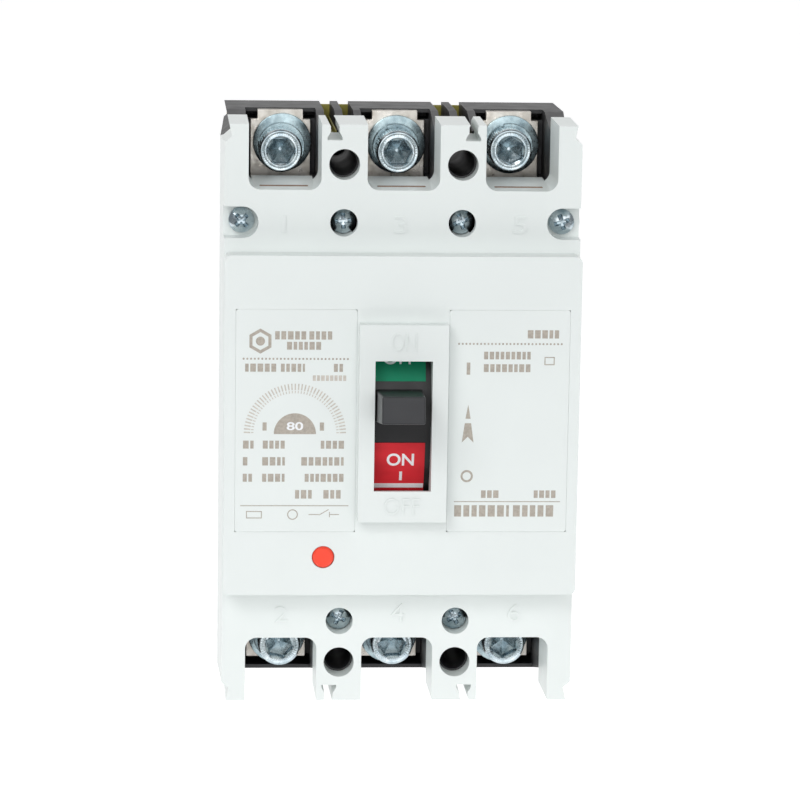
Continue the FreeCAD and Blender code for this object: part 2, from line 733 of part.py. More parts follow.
    def lids(drawing):
        for side in SIDES:
            limits = ("lid_in - lid_gap", "lid_out + lid_gap")
            rectangle(drawing, limits if side > 0 else mirrored(limits),
                      about("0", "lid_half + lid_gap"))
    pocket(body, "cover_lid_seats", "XZ_Plane", ("panel - lid_thick", "panel"), lids)

    def button_guide(drawing):
        rectangle(drawing, ("button_x - guide_half", "-hole_x"), about("button_z", "guide_half"))
    pad(body, "cover_button_guide", "XZ_Plane", ("guide_depth", "guide_depth + 1.6"), button_guide)

    def flange_room(drawing):
        circle(drawing, "button_x", "button_z", "button_r + 1.3")
    pocket(body, "cover_flange_room", "XZ_Plane", ("guide_depth + 1.6", "panel - shell"), flange_room)

    def stem_hole(drawing):
        circle(drawing, "button_x", "button_z", "button_stem_r + 0.2")
    pocket(body, "cover_stem_hole", "XZ_Plane", ("guide_depth - 1", "guide_depth + 1.7"), stem_hole)

    def button_hole(drawing):
        circle(drawing, "button_x", "button_z", "button_r + 0.15")
    pocket(body, "cover_button_hole", "XZ_Plane", ("panel - shell - 1", "panel"), button_hole)

    def corner_notches(drawing):
        for side in SIDES:
            for end in ENDS:
                notch(drawing, side, end)
    pocket(body, "cover_corner_notches", "XZ_Plane", ("parting", "shoulder"), corner_notches)
    return keep(body, "cover")


def barrier_slot(drawing, side, end):
    """A keyhole open at the end of the case: flared mouth, narrow neck, wide foot."""
    profile = [("slot_neck + 0.5", "case_length / 2 + 1"), ("slot_neck + 0.5", "case_length / 2"),
               ("slot_neck", "case_length / 2 - 0.9"), ("slot_neck", "slot_root + 2.1"),
               ("slot_foot", "slot_root + 0.7"), ("slot_foot", "slot_root")]
    right = [(f"{side} * (slot_x + {half})", f"{end} * ({z})") for half, z in profile]
    left = [(f"{side} * (slot_x - {half})", f"{end} * ({z})") for half, z in reversed(profile)]
    outline(drawing, right + left)


def notch(drawing, side, end):
    """The cut-back corner of the case: a short ramp, then a tapering edge."""
    edge = "case_width / 2"
    corners = [(f"{edge} + 1", "notch_z - 0.6"), (f"{edge} - 0.9", "notch_z"),
               (f"{edge} - notch_deep - 0.4", "notch_z + 1.5"),
               (f"{edge} - notch_deep + 0.6", "case_length / 2 + 1"),
               (f"{edge} + 1", "case_length / 2 + 1")]
    outline(drawing, [(f"{side} * ({x})", f"{end} * ({z})") for x, z in corners])


def lid(side, label):
    """A flat accessory lid let into the raised panel."""
    body = new_body(label)

    def face(drawing):
        limits = ("lid_in", "lid_out")
        rectangle(drawing, limits if side > 0 else mirrored(limits), about("0", "lid_half"))
    plate = pad(body, label + "_pad", "XZ_Plane", ("panel - lid_thick", "panel"), face)
    round_edges(body, label + "_corners", plate, "0.6",
                lambda edge: runs_along(edge, 1))
    return keep(body, label)


def cover_screws():
    """Cross-recess pan-head screws that hold the cover on."""
    body = new_body("cover_screw")
    revolve(body, "cover_screw_turned",
            [("0", "-screw_end"), ("screw_shank_r - 0.6", "-screw_end"),
             ("screw_shank_r", "-screw_end - 1"), ("screw_shank_r", "-screw_seat"),
             ("screw_head_r", "-screw_seat"), ("screw_head_r", "-screw_seat - screw_head_tall * 0.55"),
             ("screw_head_r * 0.72", "-screw_seat - screw_head_tall"),
             ("0", "-screw_seat - screw_head_tall")])

    def cross(drawing):
        outline(drawing, [(f"{a} * {u}", f"{b} * {v}") for a, u, b, v in cross_corners()])
    pocket(body, "cover_screw_cross", "XZ_Plane",
           ("screw_seat + screw_head_tall - 1.4", "screw_seat + screw_head_tall + 0.1"), cross)
    copies = [copy_at(f"cover_screw_{i}", body, x=x, z=z)
              for i, (x, z) in enumerate(screw_places(), start=1)]
    return group("cover_screws", copies)


def cross_corners():
    """Twelve corners of a plus sign, going round."""
    quarter = [(1, "cross_reach", 1, "cross_half"), (1, "cross_half", 1, "cross_half"),
               (1, "cross_half", 1, "cross_reach")]
    corners = list(quarter)
    for a_sign, b_sign, flip in ((-1, 1, True), (-1, -1, False), (1, -1, True)):
        turn = reversed(quarter) if flip else quarter
        corners += [(a_sign, u, b_sign, v) for a, u, b, v in turn]
    return corners


# ---------------------------------------------------------------- terminals

def strap(number, end):
    """A terminal strap: bolt hole, a tail into the chamber and, at the line end, a tongue."""
    kind = "line" if end > 0 else "load"
    label = f"{kind}_terminal_{number + 2}"
    inner = "line_inner" if end > 0 else "-load_inner"
    body = new_body(label)
    middle = pole(number)

    def shape(drawing):
        half = [("strap_half", inner), ("strap_half", "strap_end - tongue_long")]
        if end > 0:
            half += [("tongue_half", "strap_end - tongue_long"), ("tongue_half", "strap_end")]
        right = [(f"{middle} + {x}", f"{end} * ({z})") for x, z in half]
        left = [(f"{middle} - {x}", f"{end} * ({z})") for x, z in reversed(half)]
        outline(drawing, right + left)
        circle(drawing, middle, f"{end} * bolt_z", "bolt_hole_r")
    pad(body, label + "_pad", "XZ_Plane", ("pocket_floor", "pocket_floor + strap_thick"), shape)
    return keep(body, label)


def terminal_hardware():
    """Bolts, spring washers, flat washers and nuts for the six terminals."""
    top = "(pocket_floor + strap_thick)"
    flat = washer("flat_washer", "flat_r", top, "flat_thick")
    sprung = washer("spring_washer", "spring_r", f"{top} + flat_thick", "spring_thick")
    seat = f"({top} + flat_thick + spring_thick)"

    def split(drawing):
        rectangle(drawing, about("0", "spring_split / 2"), ("0", "spring_r + 1"))
    pocket(sprung, "spring_washer_split", "XZ_Plane",
           (f"{top} + flat_thick - 0.1", f"{seat} + 0.1"), split)
    bolt = terminal_bolt(seat)
    nut = terminal_nut()
    named = (("terminal_bolts", bolt), ("spring_washers", sprung),
             ("flat_washers", flat), ("terminal_nuts", nut))
    for label, source in named:
        copies = [copy_at(f"{label}_{number + 2}_{'a' if end > 0 else 'b'}", source,
                          x=pole(number), z=f"{end} * bolt_z")
                  for number in POLES for end in ENDS]
        group(label, copies)


def washer(name, radius, start, thick):
    """A plain ring about the bolt."""
    body = new_body(name)

    def ring(drawing):
        circle(drawing, "0", "0", radius)
        circle(drawing, "0", "0", "bolt_r + 0.3")
    pad(body, name + "_pad", "XZ_Plane", (start, f"{start} + {thick}"), ring)
    return body


def terminal_bolt(seat):
    """A hexagon-socket cap screw whose head has a broken edge."""
    body = new_body("terminal_bolt")
    crown = f"{seat} + head_tall"
    revolve(body, "terminal_bolt_turned",
            [("0", "-bolt_end"), ("bolt_r - 0.8", "-bolt_end"), ("bolt_r", "-bolt_end - 0.8"),
             ("bolt_r", f"-{seat}"), ("head_r", f"-{seat}"),
             ("head_r", f"-({crown}) + head_chamfer"), ("head_r - head_chamfer", f"-({crown})"),
             ("0", f"-({crown})")])

    def socket(drawing):
        hexagon(drawing, "hex_across")
    pocket(body, "terminal_bolt_socket", "XZ_Plane", (f"{crown} - hex_deep", f"{crown} + 0.1"), socket)
    return body


def hexagon(drawing, across):
    """A hexagon about the origin with two corners on the vertical axis."""
    corners = [(f"{across} / sqrt(3) * sin({60 * i})", f"{across} / sqrt(3) * cos({60 * i})")
               for i in range(6)]
    outline(drawing, corners)


def terminal_nut():
    """The square nut held in the base under a strap."""
    body = new_body("terminal_nut")

    def shape(drawing):
        rectangle(drawing, about("0", "nut_across / 2"), about("0", "nut_across / 2"))
        circle(drawing, "0", "0", "bolt_r + pin_fit")
    pad(body, "terminal_nut_pad", "XZ_Plane", ("pocket_floor - nut_tall + 0.2", "pocket_floor"), shape)
    return body


# ---------------------------------------------------------------- contacts and arc chutes

def contact_shaft():
    """The insulating bar that carries all three contact arms."""
    bar = rod_across("shaft_bar", "shaft_depth", "shaft_z", "shaft_r", ("-shaft_half", "shaft_half"))
    tools = [rod_across("shaft_bore", "shaft_depth", "shaft_z", "pin_r + pin_fit",
                        ("-shaft_half - 1", "shaft_half + 1"))]
    for number in POLES:
        tools.append(block(f"shaft_slot_{number + 2}", about(pole(number), "contact_half + pin_fit"),
                           ("shaft_depth - shaft_r + 2.6", "shaft_depth + shaft_r + 1"),
                           about("shaft_z", "shaft_r + 1")))
    return keep(carve("contact_shaft", bar, tools), "contact_shaft")


def contact_arm(number):
    """A copper arm on the shaft, drawn closed and turned to its open place."""
    label = f"contact_arm_{number + 2}"
    corners = [("-3.4", "-2"), ("-3.4", "3"), ("8.9", "33.5"), ("8.9", "40.2"),
               ("14.6", "40.2"), ("14.6", "35"), ("3.8", "2"), ("3.8", "-6.6"), ("-0.5", "-6.6")]
    holes = [("0", "0", "pin_r + pin_fit")]
    if number == 0:
        holes.append((crank()[0], crank()[1], "pin_r + pin_fit"))
    arm = side_plate(label, corners, about(pole(number), "contact_half"), holes)
    return keep(opened(arm), label)


def crank():
    """Link pin in the arm's own frame, with the contacts closed."""
    return ("crank_y * cos(open_angle) - crank_z * sin(open_angle)",
            "crank_z * cos(open_angle) + crank_y * sin(open_angle)")


def opened(thing):
    """Turns something drawn with the contacts closed to where they stand open."""
    return turned(thing, "shaft_depth", "shaft_z", "-open_angle")


def moving_contacts():
    """Silver tips on the contact arms."""
    tips = [opened(side_plate(f"moving_contact_{number + 2}",
                              [("8.0", "33.8"), ("8.9", "33.8"), ("8.9", "39.4"), ("8.0", "39.4")],
                              about(pole(number), "contact_half - 0.3")))
            for number in POLES]
    return group("moving_contacts", tips)


def fixed_contacts():
    """Silver tips on the line straps."""
    top = "pocket_floor + strap_thick"
    return group("fixed_contacts",
                 [block(f"fixed_contact_{number + 2}", about(pole(number), "contact_half + 0.5"),
                        (top, f"{top} + fixed_pad"), ("pad_low", "pad_high")) for number in POLES])


def shaft_pins():
    """Short pins that hold each arm in the shaft."""
    return group("contact_arm_pins",
                 [rod_across(f"contact_arm_pin_{number + 2}", "shaft_depth", "shaft_z", "pin_r",
                             about(pole(number), "shaft_r")) for number in POLES])


def arc_chute(number):
    """Steel plates with a throat for the arm, between two fibre boards."""
    plates = []
    for step in range(8):
        start = f"chute_first + {step} * chute_pitch"
        whole = block(f"arc_plate_{number + 2}_{step}", about(pole(number), "chute_half"),
                      (start, f"{start} + chute_plate"), ("chute_low", "chute_high"))
        throat = block(f"arc_throat_{number + 2}_{step}", about(pole(number), "throat_half"),
                       (f"{start} - 1", f"{start} + chute_plate + 1"),
                       ("chute_low - 1", "throat_end"))
        plates.append(carve(f"arc_cut_{number + 2}_{step}", whole, [throat]))
    group(f"arc_chute_plates_{number + 2}", plates)
    depth = ("chute_first - 1.4", "chute_first + 7 * chute_pitch + chute_plate + 0.5")
    boards = []
    for side in SIDES:
        limits = ("chute_half", "chute_half + board_thick")
        near_pole = limits if side > 0 else mirrored(limits)
        x = tuple(f"{pole(number)} + {edge}" for edge in near_pole)
        boards.append(block(f"arc_board_{number + 2}_{side + 1}", x, depth, ("chute_low", "chute_high")))
    group(f"arc_chute_boards_{number + 2}", boards)


# ---------------------------------------------------------------- operating mechanism

def pair(label, corners, inner, thick, holes=()):
    """Two like side plates, one each side of the middle pole's centre."""
    plates = []
    for side in SIDES:
        limits = (inner, f"{inner} + {thick}")
        plates.append(side_plate(f"{label}_{side + 1}", corners,
                                 limits if side > 0 else mirrored(limits), holes))
    return plates


def bar_link(label, long, inner):
    """Two flat links drawn forward from their first pin."""
    corners = [("-link_half", "-1"), ("-link_half", "1"), ("-1", "link_half"),
               (f"{long} + 1", "link_half"), (f"{long} + link_half", "1"),
               (f"{long} + link_half", "-1"), (f"{long} + 1", "-link_half"), ("-1", "-link_half")]
    holes = [("0", "0", "pin_r + pin_fit"), (long, "0", "pin_r + pin_fit")]
    return pair(label, corners, inner, "link_thick", holes)


def linkage():
    """Lower and upper links with their pins, in the tripped position."""
    lower = [turned(plate, "shaft_depth + crank_y", "shaft_z + crank_z", "lower_angle")
             for plate in bar_link("lower_link", "lower_long", "lower_in")]
    group("lower_links", lower)
    upper = [turned(plate, "upper_depth", "upper_z", "upper_angle")
             for plate in bar_link("upper_link", "upper_long", "upper_in")]
    group("upper_links", upper)
    reach = about("0", "lower_in + link_thick")
    keep(rod_across("link_pin", "shaft_depth + crank_y", "shaft_z + crank_z", "pin_r", reach),
         "link_pin")
    keep(rod_across("toggle_pin", "shaft_depth + crank_y + lower_long * cos(lower_angle)",
                    "shaft_z + crank_z + lower_long * sin(lower_angle)", "pin_r", reach),
         "toggle_pin")
    keep(rod_across("upper_link_pin", "upper_depth", "upper_z", "pin_r",
                    about("0", "cradle_in + arm_thick")), "upper_link_pin")


def cradle():
    """The latched lever that holds the upper links, in its released position."""
    corners = [("43", "27.5"), ("49", "28"), ("52.2", "17"), ("52", "-19"), ("48.5", "-19"),
               ("47", "10"), ("43", "22")]
    holes = [("cradle_depth", "cradle_z", "pin_r + pin_fit"),
             ("upper_depth", "upper_z", "pin_r + pin_fit")]
    cheeks = pair("cradle_cheek", corners, "cradle_in", "arm_thick", holes)
    nose = block("cradle_nose", about("0", "cradle_in + arm_thick"), ("49", "51.8"), ("-19", "-15"))
    return keep(join("cradle", cheeks + [nose]), "cradle")


def side_pins(label, depth, z, radius, x):
    """A pin each side of the middle."""
    return group(label, [rod_across(f"{label}_{side + 1}", depth, z, radius,
                                    x if side > 0 else mirrored(x)) for side in SIDES])


def mechanism_frame():
    """Two steel side plates with a cut-out for the shaft, tied by spacers."""
    corners = [("floor", "-25"), ("46", "-25"), ("52", "-18"), ("52", "26"), ("49", "28.4"),
               ("floor", "28.4"), ("floor", "13"), ("27", "13"), ("27", "-5"), ("floor", "-5")]
    holes = [("pivot_depth", "0", "pin_r + pin_fit"), ("cradle_depth", "cradle_z", "pin_r + pin_fit"),
             ("latch_depth", "latch_z", "pin_r + pin_fit")]
    plates = pair("frame_plate", corners, "frame_in", "arm_thick", holes)
    spacers = [rod_across(f"frame_spacer_{i}", "8", z, "1.8", about("0", "frame_in + 0.2"))
               for i, z in enumerate(("24", "-20"), start=1)]
    return keep(join("mechanism_frame", plates + spacers), "mechanism_frame")


def trip_latch():
    """The latch between the cradle's nose and the trip bar."""
    corners = [("33", "-25"), ("47", "-24.5"), ("47", "-22.9"), ("38.4", "-22.9"),
               ("38.4", "-20"), ("36.5", "-19.5"), ("34", "-19.5"), ("33", "-20.5")]
    holes = [("latch_depth", "latch_z", "pin_r + pin_fit")]
    keep(side_plate("trip_latch", corners, about("0", "5"), holes), "trip_latch")
    keep(rod_across("latch_pin", "latch_depth", "latch_z", "pin_r", about("0", "frame_in + arm_thick")),
         "latch_pin")


def helix(label, radius, wire, pitch, turns):
    """A coil about the body's own Y axis, running forward."""
    body = new_body(label)
    drawing = sketch_on(body, label + "_sketch", "XY_Plane", "0")
    circle(drawing, radius, "0", wire)
    coil = body.newObject("PartDesign::AdditiveHelix", label + "_coil")
    coil.Profile = drawing
    coil.ReferenceAxis = (drawing, ["V_Axis"])
    coil.Mode = "pitch-turns-angle"
    coil.Reversed = True
    bind(coil, Pitch=pitch, Turns=turns)
    return body


def main_springs():
    """The two toggle springs between the toggle pin and the handle arm."""
    coil = helix("main_spring", "spring_coil", "spring_wire", "1.1", "9.5")
    copies = [copy_at(f"main_spring_{side + 1}", coil, x=f"{side} * spring_x", y="-46.9", z="4.8")
              for side in SIDES]
    return group("main_springs", copies)


def handle_arm():
    """The steel fork that carries the handle, straddling the mechanism frame."""
    rim = "bridge_r + arm_thick"
    corners = [("-3.4", "-1.6"), ("-3.4", "1.6"), ("-1.6", "3.4"), ("3", "4.2"),
               (rim, "bridge_half"), (rim, "-bridge_half"), ("3", "-4.2"), ("-1.6", "-3.4")]
    cheeks = pair("handle_cheek", corners, "arm_in", "arm_thick", [("0", "0", "pin_r + pin_fit")])
    bridge = block("handle_bridge", about("0", "arm_in + arm_thick"), ("bridge_r", rim),
                   about("0", "bridge_half"))
    fork = join("handle_arm", cheeks + [bridge])
    return keep(turned(fork, "pivot_depth", "0", "trip_angle"), "handle_arm")


def arc_band(body, name, x, inner, outer, low, high):
    """A band of a cylinder about the handle's pivot, between two angles."""
    drawing = sketch_on(body, name + "_sketch", "XY_Plane", "0")
    rectangle(drawing, x, (f"-({outer})", f"-({inner})"))
    band = body.newObject("PartDesign::Revolution", name)
    band.Profile = drawing
    band.ReferenceAxis = (drawing, ["H_Axis"])
    band.Type = "TwoAngles"
    bind(band, Angle=low, Angle2=high)
    return band


def handle():
    """The moulded handle: curved shield, inner boss and the tapering toggle."""
    body = new_body("handle")
    arc_band(body, "handle_shield", about("0", "shield_x"), "shield_r - shield_thick", "shield_r",
             "shield_angle", "shield_angle")

    def boss(drawing):
        rectangle(drawing, about("0", "bridge_half"), about("0", "bridge_half - 1"))
    pad(body, "handle_boss", "XZ_Plane", ("bridge_r + arm_thick", "shield_r - 0.5"), boss)
    root = sketch_on(body, "handle_root_sketch", "XZ_Plane", "shield_r - 1")
    rectangle(root, about("handle_off", "handle_root_x"), about("0", "handle_root_z"))
    tip = sketch_on(body, "handle_tip_sketch", "XZ_Plane", "handle_tip")
    rectangle(tip, about("handle_off", "handle_x"), about("0", "handle_z"))
    toggle = body.newObject("PartDesign::AdditiveLoft", "handle_toggle")
    toggle.Profile = root
    toggle.Sections = [tip]
    toggle.Ruled = True
    reach = size("handle_tip")
    shield = size("shield_r")

    def toggle_edge(edge):
        ends = [-vertex.Point.y for vertex in edge.Vertexes]
        return len(ends) == 2 and max(ends) > reach - 0.1 and min(ends) > shield - 2
    round_edges(body, "handle_rounds", toggle, "handle_round", toggle_edge)
    return keep(turned(body, "pivot_depth", "0", "trip_angle"), "handle")


def shield_label(label, low, high):
    """A printed label on the shield, drawn with the handle level."""
    body = new_body(label)
    arc_band(body, label + "_band", ("label_left", "label_right"), "shield_r", "shield_r + label_thick",
             f"-({low})", high)
    return keep(turned(body, "pivot_depth", "0", "trip_angle"), label)


# ---------------------------------------------------------------- trip unit

def trip_unit():
    """Heaters, bimetals and magnet yokes of the three poles."""
    heater_corners = [("18.5", "-52"), ("20.9", "-52"), ("20.9", "-39.5"), ("11.5", "-39.5"),
                      ("11.5", "-27"), ("9", "-27"), ("9", "-41.8"), ("18.5", "-41.8")]
    group("heaters", [side_plate(f"heater_{number + 2}", heater_corners, about(pole(number), "4"))
                      for number in POLES])
    group("bimetals", [block(f"bimetal_{number + 2}", about(pole(number), "3.5"), ("11.5", "46"),
                             ("-37.4", "-36.4")) for number in POLES])
    braid_corners = [("17", "-8"), ("19.2", "-8"), ("18.6", "-16"), ("13.9", "-24"),
                     ("13.7", "-31"), ("11.6", "-31"), ("11.6", "-23.4"), ("16.4", "-15.4")]
    group("flexible_braids", [side_plate(f"braid_{number + 2}", braid_corners,
                                         about(pole(number), "contact_half")) for number in POLES])
    yokes = [magnet_yoke(number) for number in POLES]
    group("magnet_yokes", yokes)
    group("armature_pins", [rod_across(f"armature_pin_{number + 2}", "armature_depth", "armature_z",
                                       "armature_pin_r", about(pole(number), "yoke_out"))
                            for number in POLES])


def magnet_yoke(number):
    """A steel channel round the bimetal with two ears for the armature pin."""
    corners = [("21", "-41.2"), ("35", "-41.2"), ("35", "-33.5"), ("25", "-33.5"),
               ("25", "-28.6"), ("21", "-28.6")]
    hole = [("armature_depth", "armature_z", "armature_pin_r + pin_fit")]
    legs = []
    for side in SIDES:
        limits = ("yoke_in", "yoke_out") if side > 0 else ("-yoke_out", "-yoke_in")
        x = tuple(f"{pole(number)} + ({edge})" for edge in limits)
        legs.append(side_plate(f"yoke_leg_{number + 2}_{side + 1}", corners, x, hole))
    back = block(f"yoke_back_{number + 2}", about(pole(number), "yoke_out"), ("21", "35"),
                 ("-41.2", "-39.9"))
    return join(f"magnet_yoke_{number + 2}", legs + [back])


def armature(number):
    """A hinged steel plate with a finger that reaches the trip bar."""
    label = f"armature_{number + 2}"
    corners = [("21.3", "-32.5"), ("24.6", "-32.5"), ("24.6", "-31.8"), ("38", "-31.8"),
               ("38", "-30.2"), ("24.6", "-30.2"), ("24.6", "-29.4"), ("21.3", "-29.4")]
    plate = side_plate(label + "_plate", corners, about(pole(number), "armature_half"),
                       [("armature_depth", "armature_z", "armature_pin_r + pin_fit")])
    finger = block(label + "_finger", (f"{pole(number)} + armature_half - 1.1",
                                       f"{pole(number)} + armature_half"),
                   ("36.4", "38"), ("-39", "-31"))
    return keep(join(label, [plate, finger]), label)


def trip_bar():
    """The common trip bar with a paddle for each pole and one for the button."""
    bar = rod_across("trip_bar_rod", "bar_depth", "bar_z", "bar_r", ("-bar_half", "bar_half"))
    paddles = [block(f"trip_paddle_{number + 2}", about(pole(number), "5"),
                     ("bar_depth - 14.5", "bar_depth - 1"), about("bar_z", "0.8"))
               for number in POLES]
    lever = block("trip_button_lever", about("button_x", "2.2"), about("bar_depth", "1"),
                  ("bar_z", "bar_z + 9"))
    hook = block("trip_latch_lever", about("0", "3"), about("bar_depth", "1"),
                 ("bar_z", "bar_z + 7"))
    holes = [rod_up(f"trip_screw_hole_{number + 2}", pole(number), "bar_depth - 7",
                    "1.2", ("bar_z - 2", "bar_z + 2")) for number in POLES]
    solid = join("trip_bar_solid", [bar, lever, hook] + paddles)
    keep(carve("trip_bar", solid, holes), "trip_bar")
    group("calibration_screws", [rod_up(f"calibration_screw_{number + 2}", pole(number),
                                        "bar_depth - 7", "1.15", ("bar_z - 3.4", "bar_z + 3.2"))
                                 for number in POLES])


def rod_up(name, x, depth, radius, z):
    """A cylinder along Z."""
    rod = doc.addObject("Part::Cylinder", name)
    bind(rod, Radius=radius, Height=f"({z[1]}) - ({z[0]})", Placement__Base__x=x,
         Placement__Base__y=f"-({depth})", Placement__Base__z=z[0])
    return rod


def test_button():
    """The push-to-trip button with its stem and retaining flange, and its spring."""
    body = new_body("test_button")
    face = "panel + button_proud"
    revolve(body, "test_button_turned",
            [("0", "-button_tip"), ("button_stem_r", "-button_tip"),
             ("button_stem_r", "-(panel - shell) + 1.4"), ("button_r + 0.9", "-(panel - shell) + 1.4"),
             ("button_r + 0.9", "-(panel - shell) + 0.2"), ("button_r", "-(panel - shell) + 0.2"),
             ("button_r", f"-({face}) + 0.5"), ("button_r - 0.5", f"-({face})"), ("0", f"-({face})")])
    bind(body, Placement__Base__x="button_x", Placement__Base__z="button_z")
    keep(body, "test_button")
    coil = helix("button_coil", "2.1", "0.3", "1.05", "5.5")
    spring = copy_at("button_coil_placed", coil, x="button_x", y="-guide_depth - 2.1", z="button_z")
    group("button_spring", [spring])


# ---------------------------------------------------------------- the whole breaker

def build():
    """Makes every sub-part in turn."""
    base()
    rear_plate()
    gap_liners()
    cover()
    lid(-1, "left_accessory_lid")
    lid(1, "right_accessory_lid")
    cover_screws()
    for number in POLES:
        for end in ENDS:
            strap(number, end)
    terminal_hardware()
    contact_shaft()
    for number in POLES:
        contact_arm(number)
        arc_chute(number)
        armature(number)
    moving_contacts()
    fixed_contacts()
    shaft_pins()
    linkage()
    cradle()
    side_pins("cradle_pins", "cradle_depth", "cradle_z", "pin_r", ("cradle_in", "frame_in + arm_thick"))
    mechanism_frame()
    trip_latch()
    main_springs()
    handle_arm()
    side_pins("handle_pins", "pivot_depth", "0", "pin_r", ("frame_in", "arm_in + arm_thick + 0.4"))
    handle()
    shield_label("on_label", "on_low", "on_high")
    shield_label("off_label", "off_low", "off_high")
    trip_unit()
    trip_bar()
    test_button()

# ---------------------------------------------------------------- check and write

def check():
    """Stops on anything that failed to compute."""
    for thing in doc.Objects:
        if any(word in ("Invalid", "Error") for word in thing.State):
            raise RuntimeError(f"{thing.Name} failed: {thing.State}")
    for thing in nodes:
        if thing.Shape.isNull() or not thing.Shape.isValid():
            raise RuntimeError(f"{thing.Label} has no valid shape")


def write():
    """Writes each sub-part to its own file."""
    os.makedirs("parts", exist_ok=True)
    for thing in nodes:
        thing.Shape.exportStep(f"parts/{thing.Label}.step")


build()
doc.recompute()
check()
write()
print(len(nodes), "sub-parts written")
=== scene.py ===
import bmesh
import bpy
import math
import random
from mathutils import Matrix, Vector


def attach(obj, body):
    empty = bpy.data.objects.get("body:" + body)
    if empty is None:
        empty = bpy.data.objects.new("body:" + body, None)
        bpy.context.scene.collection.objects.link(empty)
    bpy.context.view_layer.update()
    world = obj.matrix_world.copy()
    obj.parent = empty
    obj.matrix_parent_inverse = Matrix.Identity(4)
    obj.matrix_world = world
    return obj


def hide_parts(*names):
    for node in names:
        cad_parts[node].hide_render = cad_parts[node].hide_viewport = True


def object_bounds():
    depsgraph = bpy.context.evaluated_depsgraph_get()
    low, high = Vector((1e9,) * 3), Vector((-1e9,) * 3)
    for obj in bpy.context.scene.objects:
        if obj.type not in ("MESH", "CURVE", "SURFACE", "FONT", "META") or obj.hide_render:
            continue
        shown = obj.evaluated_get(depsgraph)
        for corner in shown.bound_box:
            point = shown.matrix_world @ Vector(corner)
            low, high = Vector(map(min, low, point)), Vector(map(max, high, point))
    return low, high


# Looks of a three-pole moulded case circuit breaker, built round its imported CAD.
# The breaker's sizes are in millimetres and turned to metres by MM; the stage, lights and
# world are in metres. "Depth" is the distance forward of the mounting plane, so depth d
# lies at Y = -d, as in the CAD.

MM = 0.001
POLES = (-30.0, 0.0, 30.0)
SIDES = (-1, 1)
ENDS = (1, -1)

# Depths of the cover's front faces, and where its lids and its walls' ends are.
SHOULDER = 61.0
PANEL = 68.0
ESCUTCHEON = 72.0
LID_INNER = 11.5
LID_OUTER = 42.5
LID_HALF_HEIGHT = 28.8
WALL_END = 73.8

# The handle's axis, the radius of its labels and its tilt in degrees in the tripped
# position, which is the one at rest.
PIVOT_DEPTH = 30.0
SHIELD_R = 38.45
TRIP_ANGLE = 6.05

# The terminals' bolts and washers, and the cover's screws.
BOLT_Z = 66.0
STRAP_FRONT = 24.0
FLAT_WASHER_THICK = 1.4
HEAD_SEAT = STRAP_FRONT + 3.4
SCREW_SEAT = 55.0

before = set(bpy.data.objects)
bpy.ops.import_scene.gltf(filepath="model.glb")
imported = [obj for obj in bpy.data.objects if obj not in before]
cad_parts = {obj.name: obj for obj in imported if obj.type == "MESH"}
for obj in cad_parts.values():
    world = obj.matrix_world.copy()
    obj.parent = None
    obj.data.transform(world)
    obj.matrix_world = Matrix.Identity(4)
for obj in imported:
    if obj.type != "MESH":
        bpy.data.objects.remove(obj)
cad_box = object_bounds()
scene = bpy.context.scene


# ---------------------------------------------------------------- node trees

def shader_of(material):
    return material.node_tree.nodes["Principled BSDF"]


def new_material(name, colour, roughness, metallic=0.0):
    """A Principled material with its even numbers set on the shader itself."""
    material = bpy.data.materials.new(name)
    material.use_nodes = True
    shader = shader_of(material)
    shader.inputs["Base Color"].default_value = (*colour, 1.0)
    shader.inputs["Roughness"].default_value = roughness
    shader.inputs["Metallic"].default_value = metallic
    return material


def add(material, kind):
    return material.node_tree.nodes.new(kind)


def wire(material, source, target):
    material.node_tree.links.new(source, target)


def noise(material, size, detail=3.0, stretch=(1.0, 1.0, 1.0)):
    """Noise whose features are about size millimetres across, longer along a stretched axis."""
    place = add(material, "ShaderNodeTexCoord")
    mapping = add(material, "ShaderNodeMapping")
    mapping.inputs["Scale"].default_value = [1.0 / (size * MM * s) for s in stretch]
    texture = add(material, "ShaderNodeTexNoise")
    texture.inputs["Scale"].default_value = 1.0
    texture.inputs["Detail"].default_value = detail
    wire(material, place.outputs["Object"], mapping.inputs["Vector"])
    wire(material, mapping.outputs["Vector"], texture.inputs["Vector"])
    return texture.outputs["Fac"]


def tinted(material, factor, stops):
    """Drives the base colour through a ramp of (position, colour) stops."""
    ramp = add(material, "ShaderNodeValToRGB")
    elements = ramp.color_ramp.elements
    while len(elements) < len(stops):
        elements.new(0.5)
    for element, (position, colour) in zip(elements, stops):
        element.position = position
        element.color = (*colour, 1.0)
    wire(material, factor, ramp.inputs["Fac"])
    wire(material, ramp.outputs["Color"], shader_of(material).inputs["Base Color"])


def roughened(material, factor, low, high):
    """Lets the roughness wander between two values."""
    spread = add(material, "ShaderNodeMapRange")
    spread.inputs["From Min"].default_value = 0.3
    spread.inputs["From Max"].default_value = 0.7
    spread.inputs["To Min"].default_value = low
    spread.inputs["To Max"].default_value = high
    wire(material, factor, spread.inputs["Value"])
    wire(material, spread.outputs["Result"], shader_of(material).inputs["Roughness"])


def bumped(material, layers):
    """Adds surface relief: each layer is (height source, depth in millimetres)."""
    normal = None
    for height, depth in layers:
        bump = add(material, "ShaderNodeBump")
        bump.inputs["Distance"].default_value = depth * MM
        wire(material, height, bump.inputs["Height"])
        if normal is not None:
            wire(material, normal, bump.inputs["Normal"])
        normal = bump.outputs["Normal"]
    wire(material, normal, shader_of(material).inputs["Normal"])


def shades(colour, spread):
    """The same colour a little darker and a little lighter."""
    dark = tuple(channel * (1 - spread) for channel in colour)
    light = tuple(min(1.0, channel * (1 + spread)) for channel in colour)
    return [(0.3, dark), (0.7, light)]


# ---------------------------------------------------------------- materials

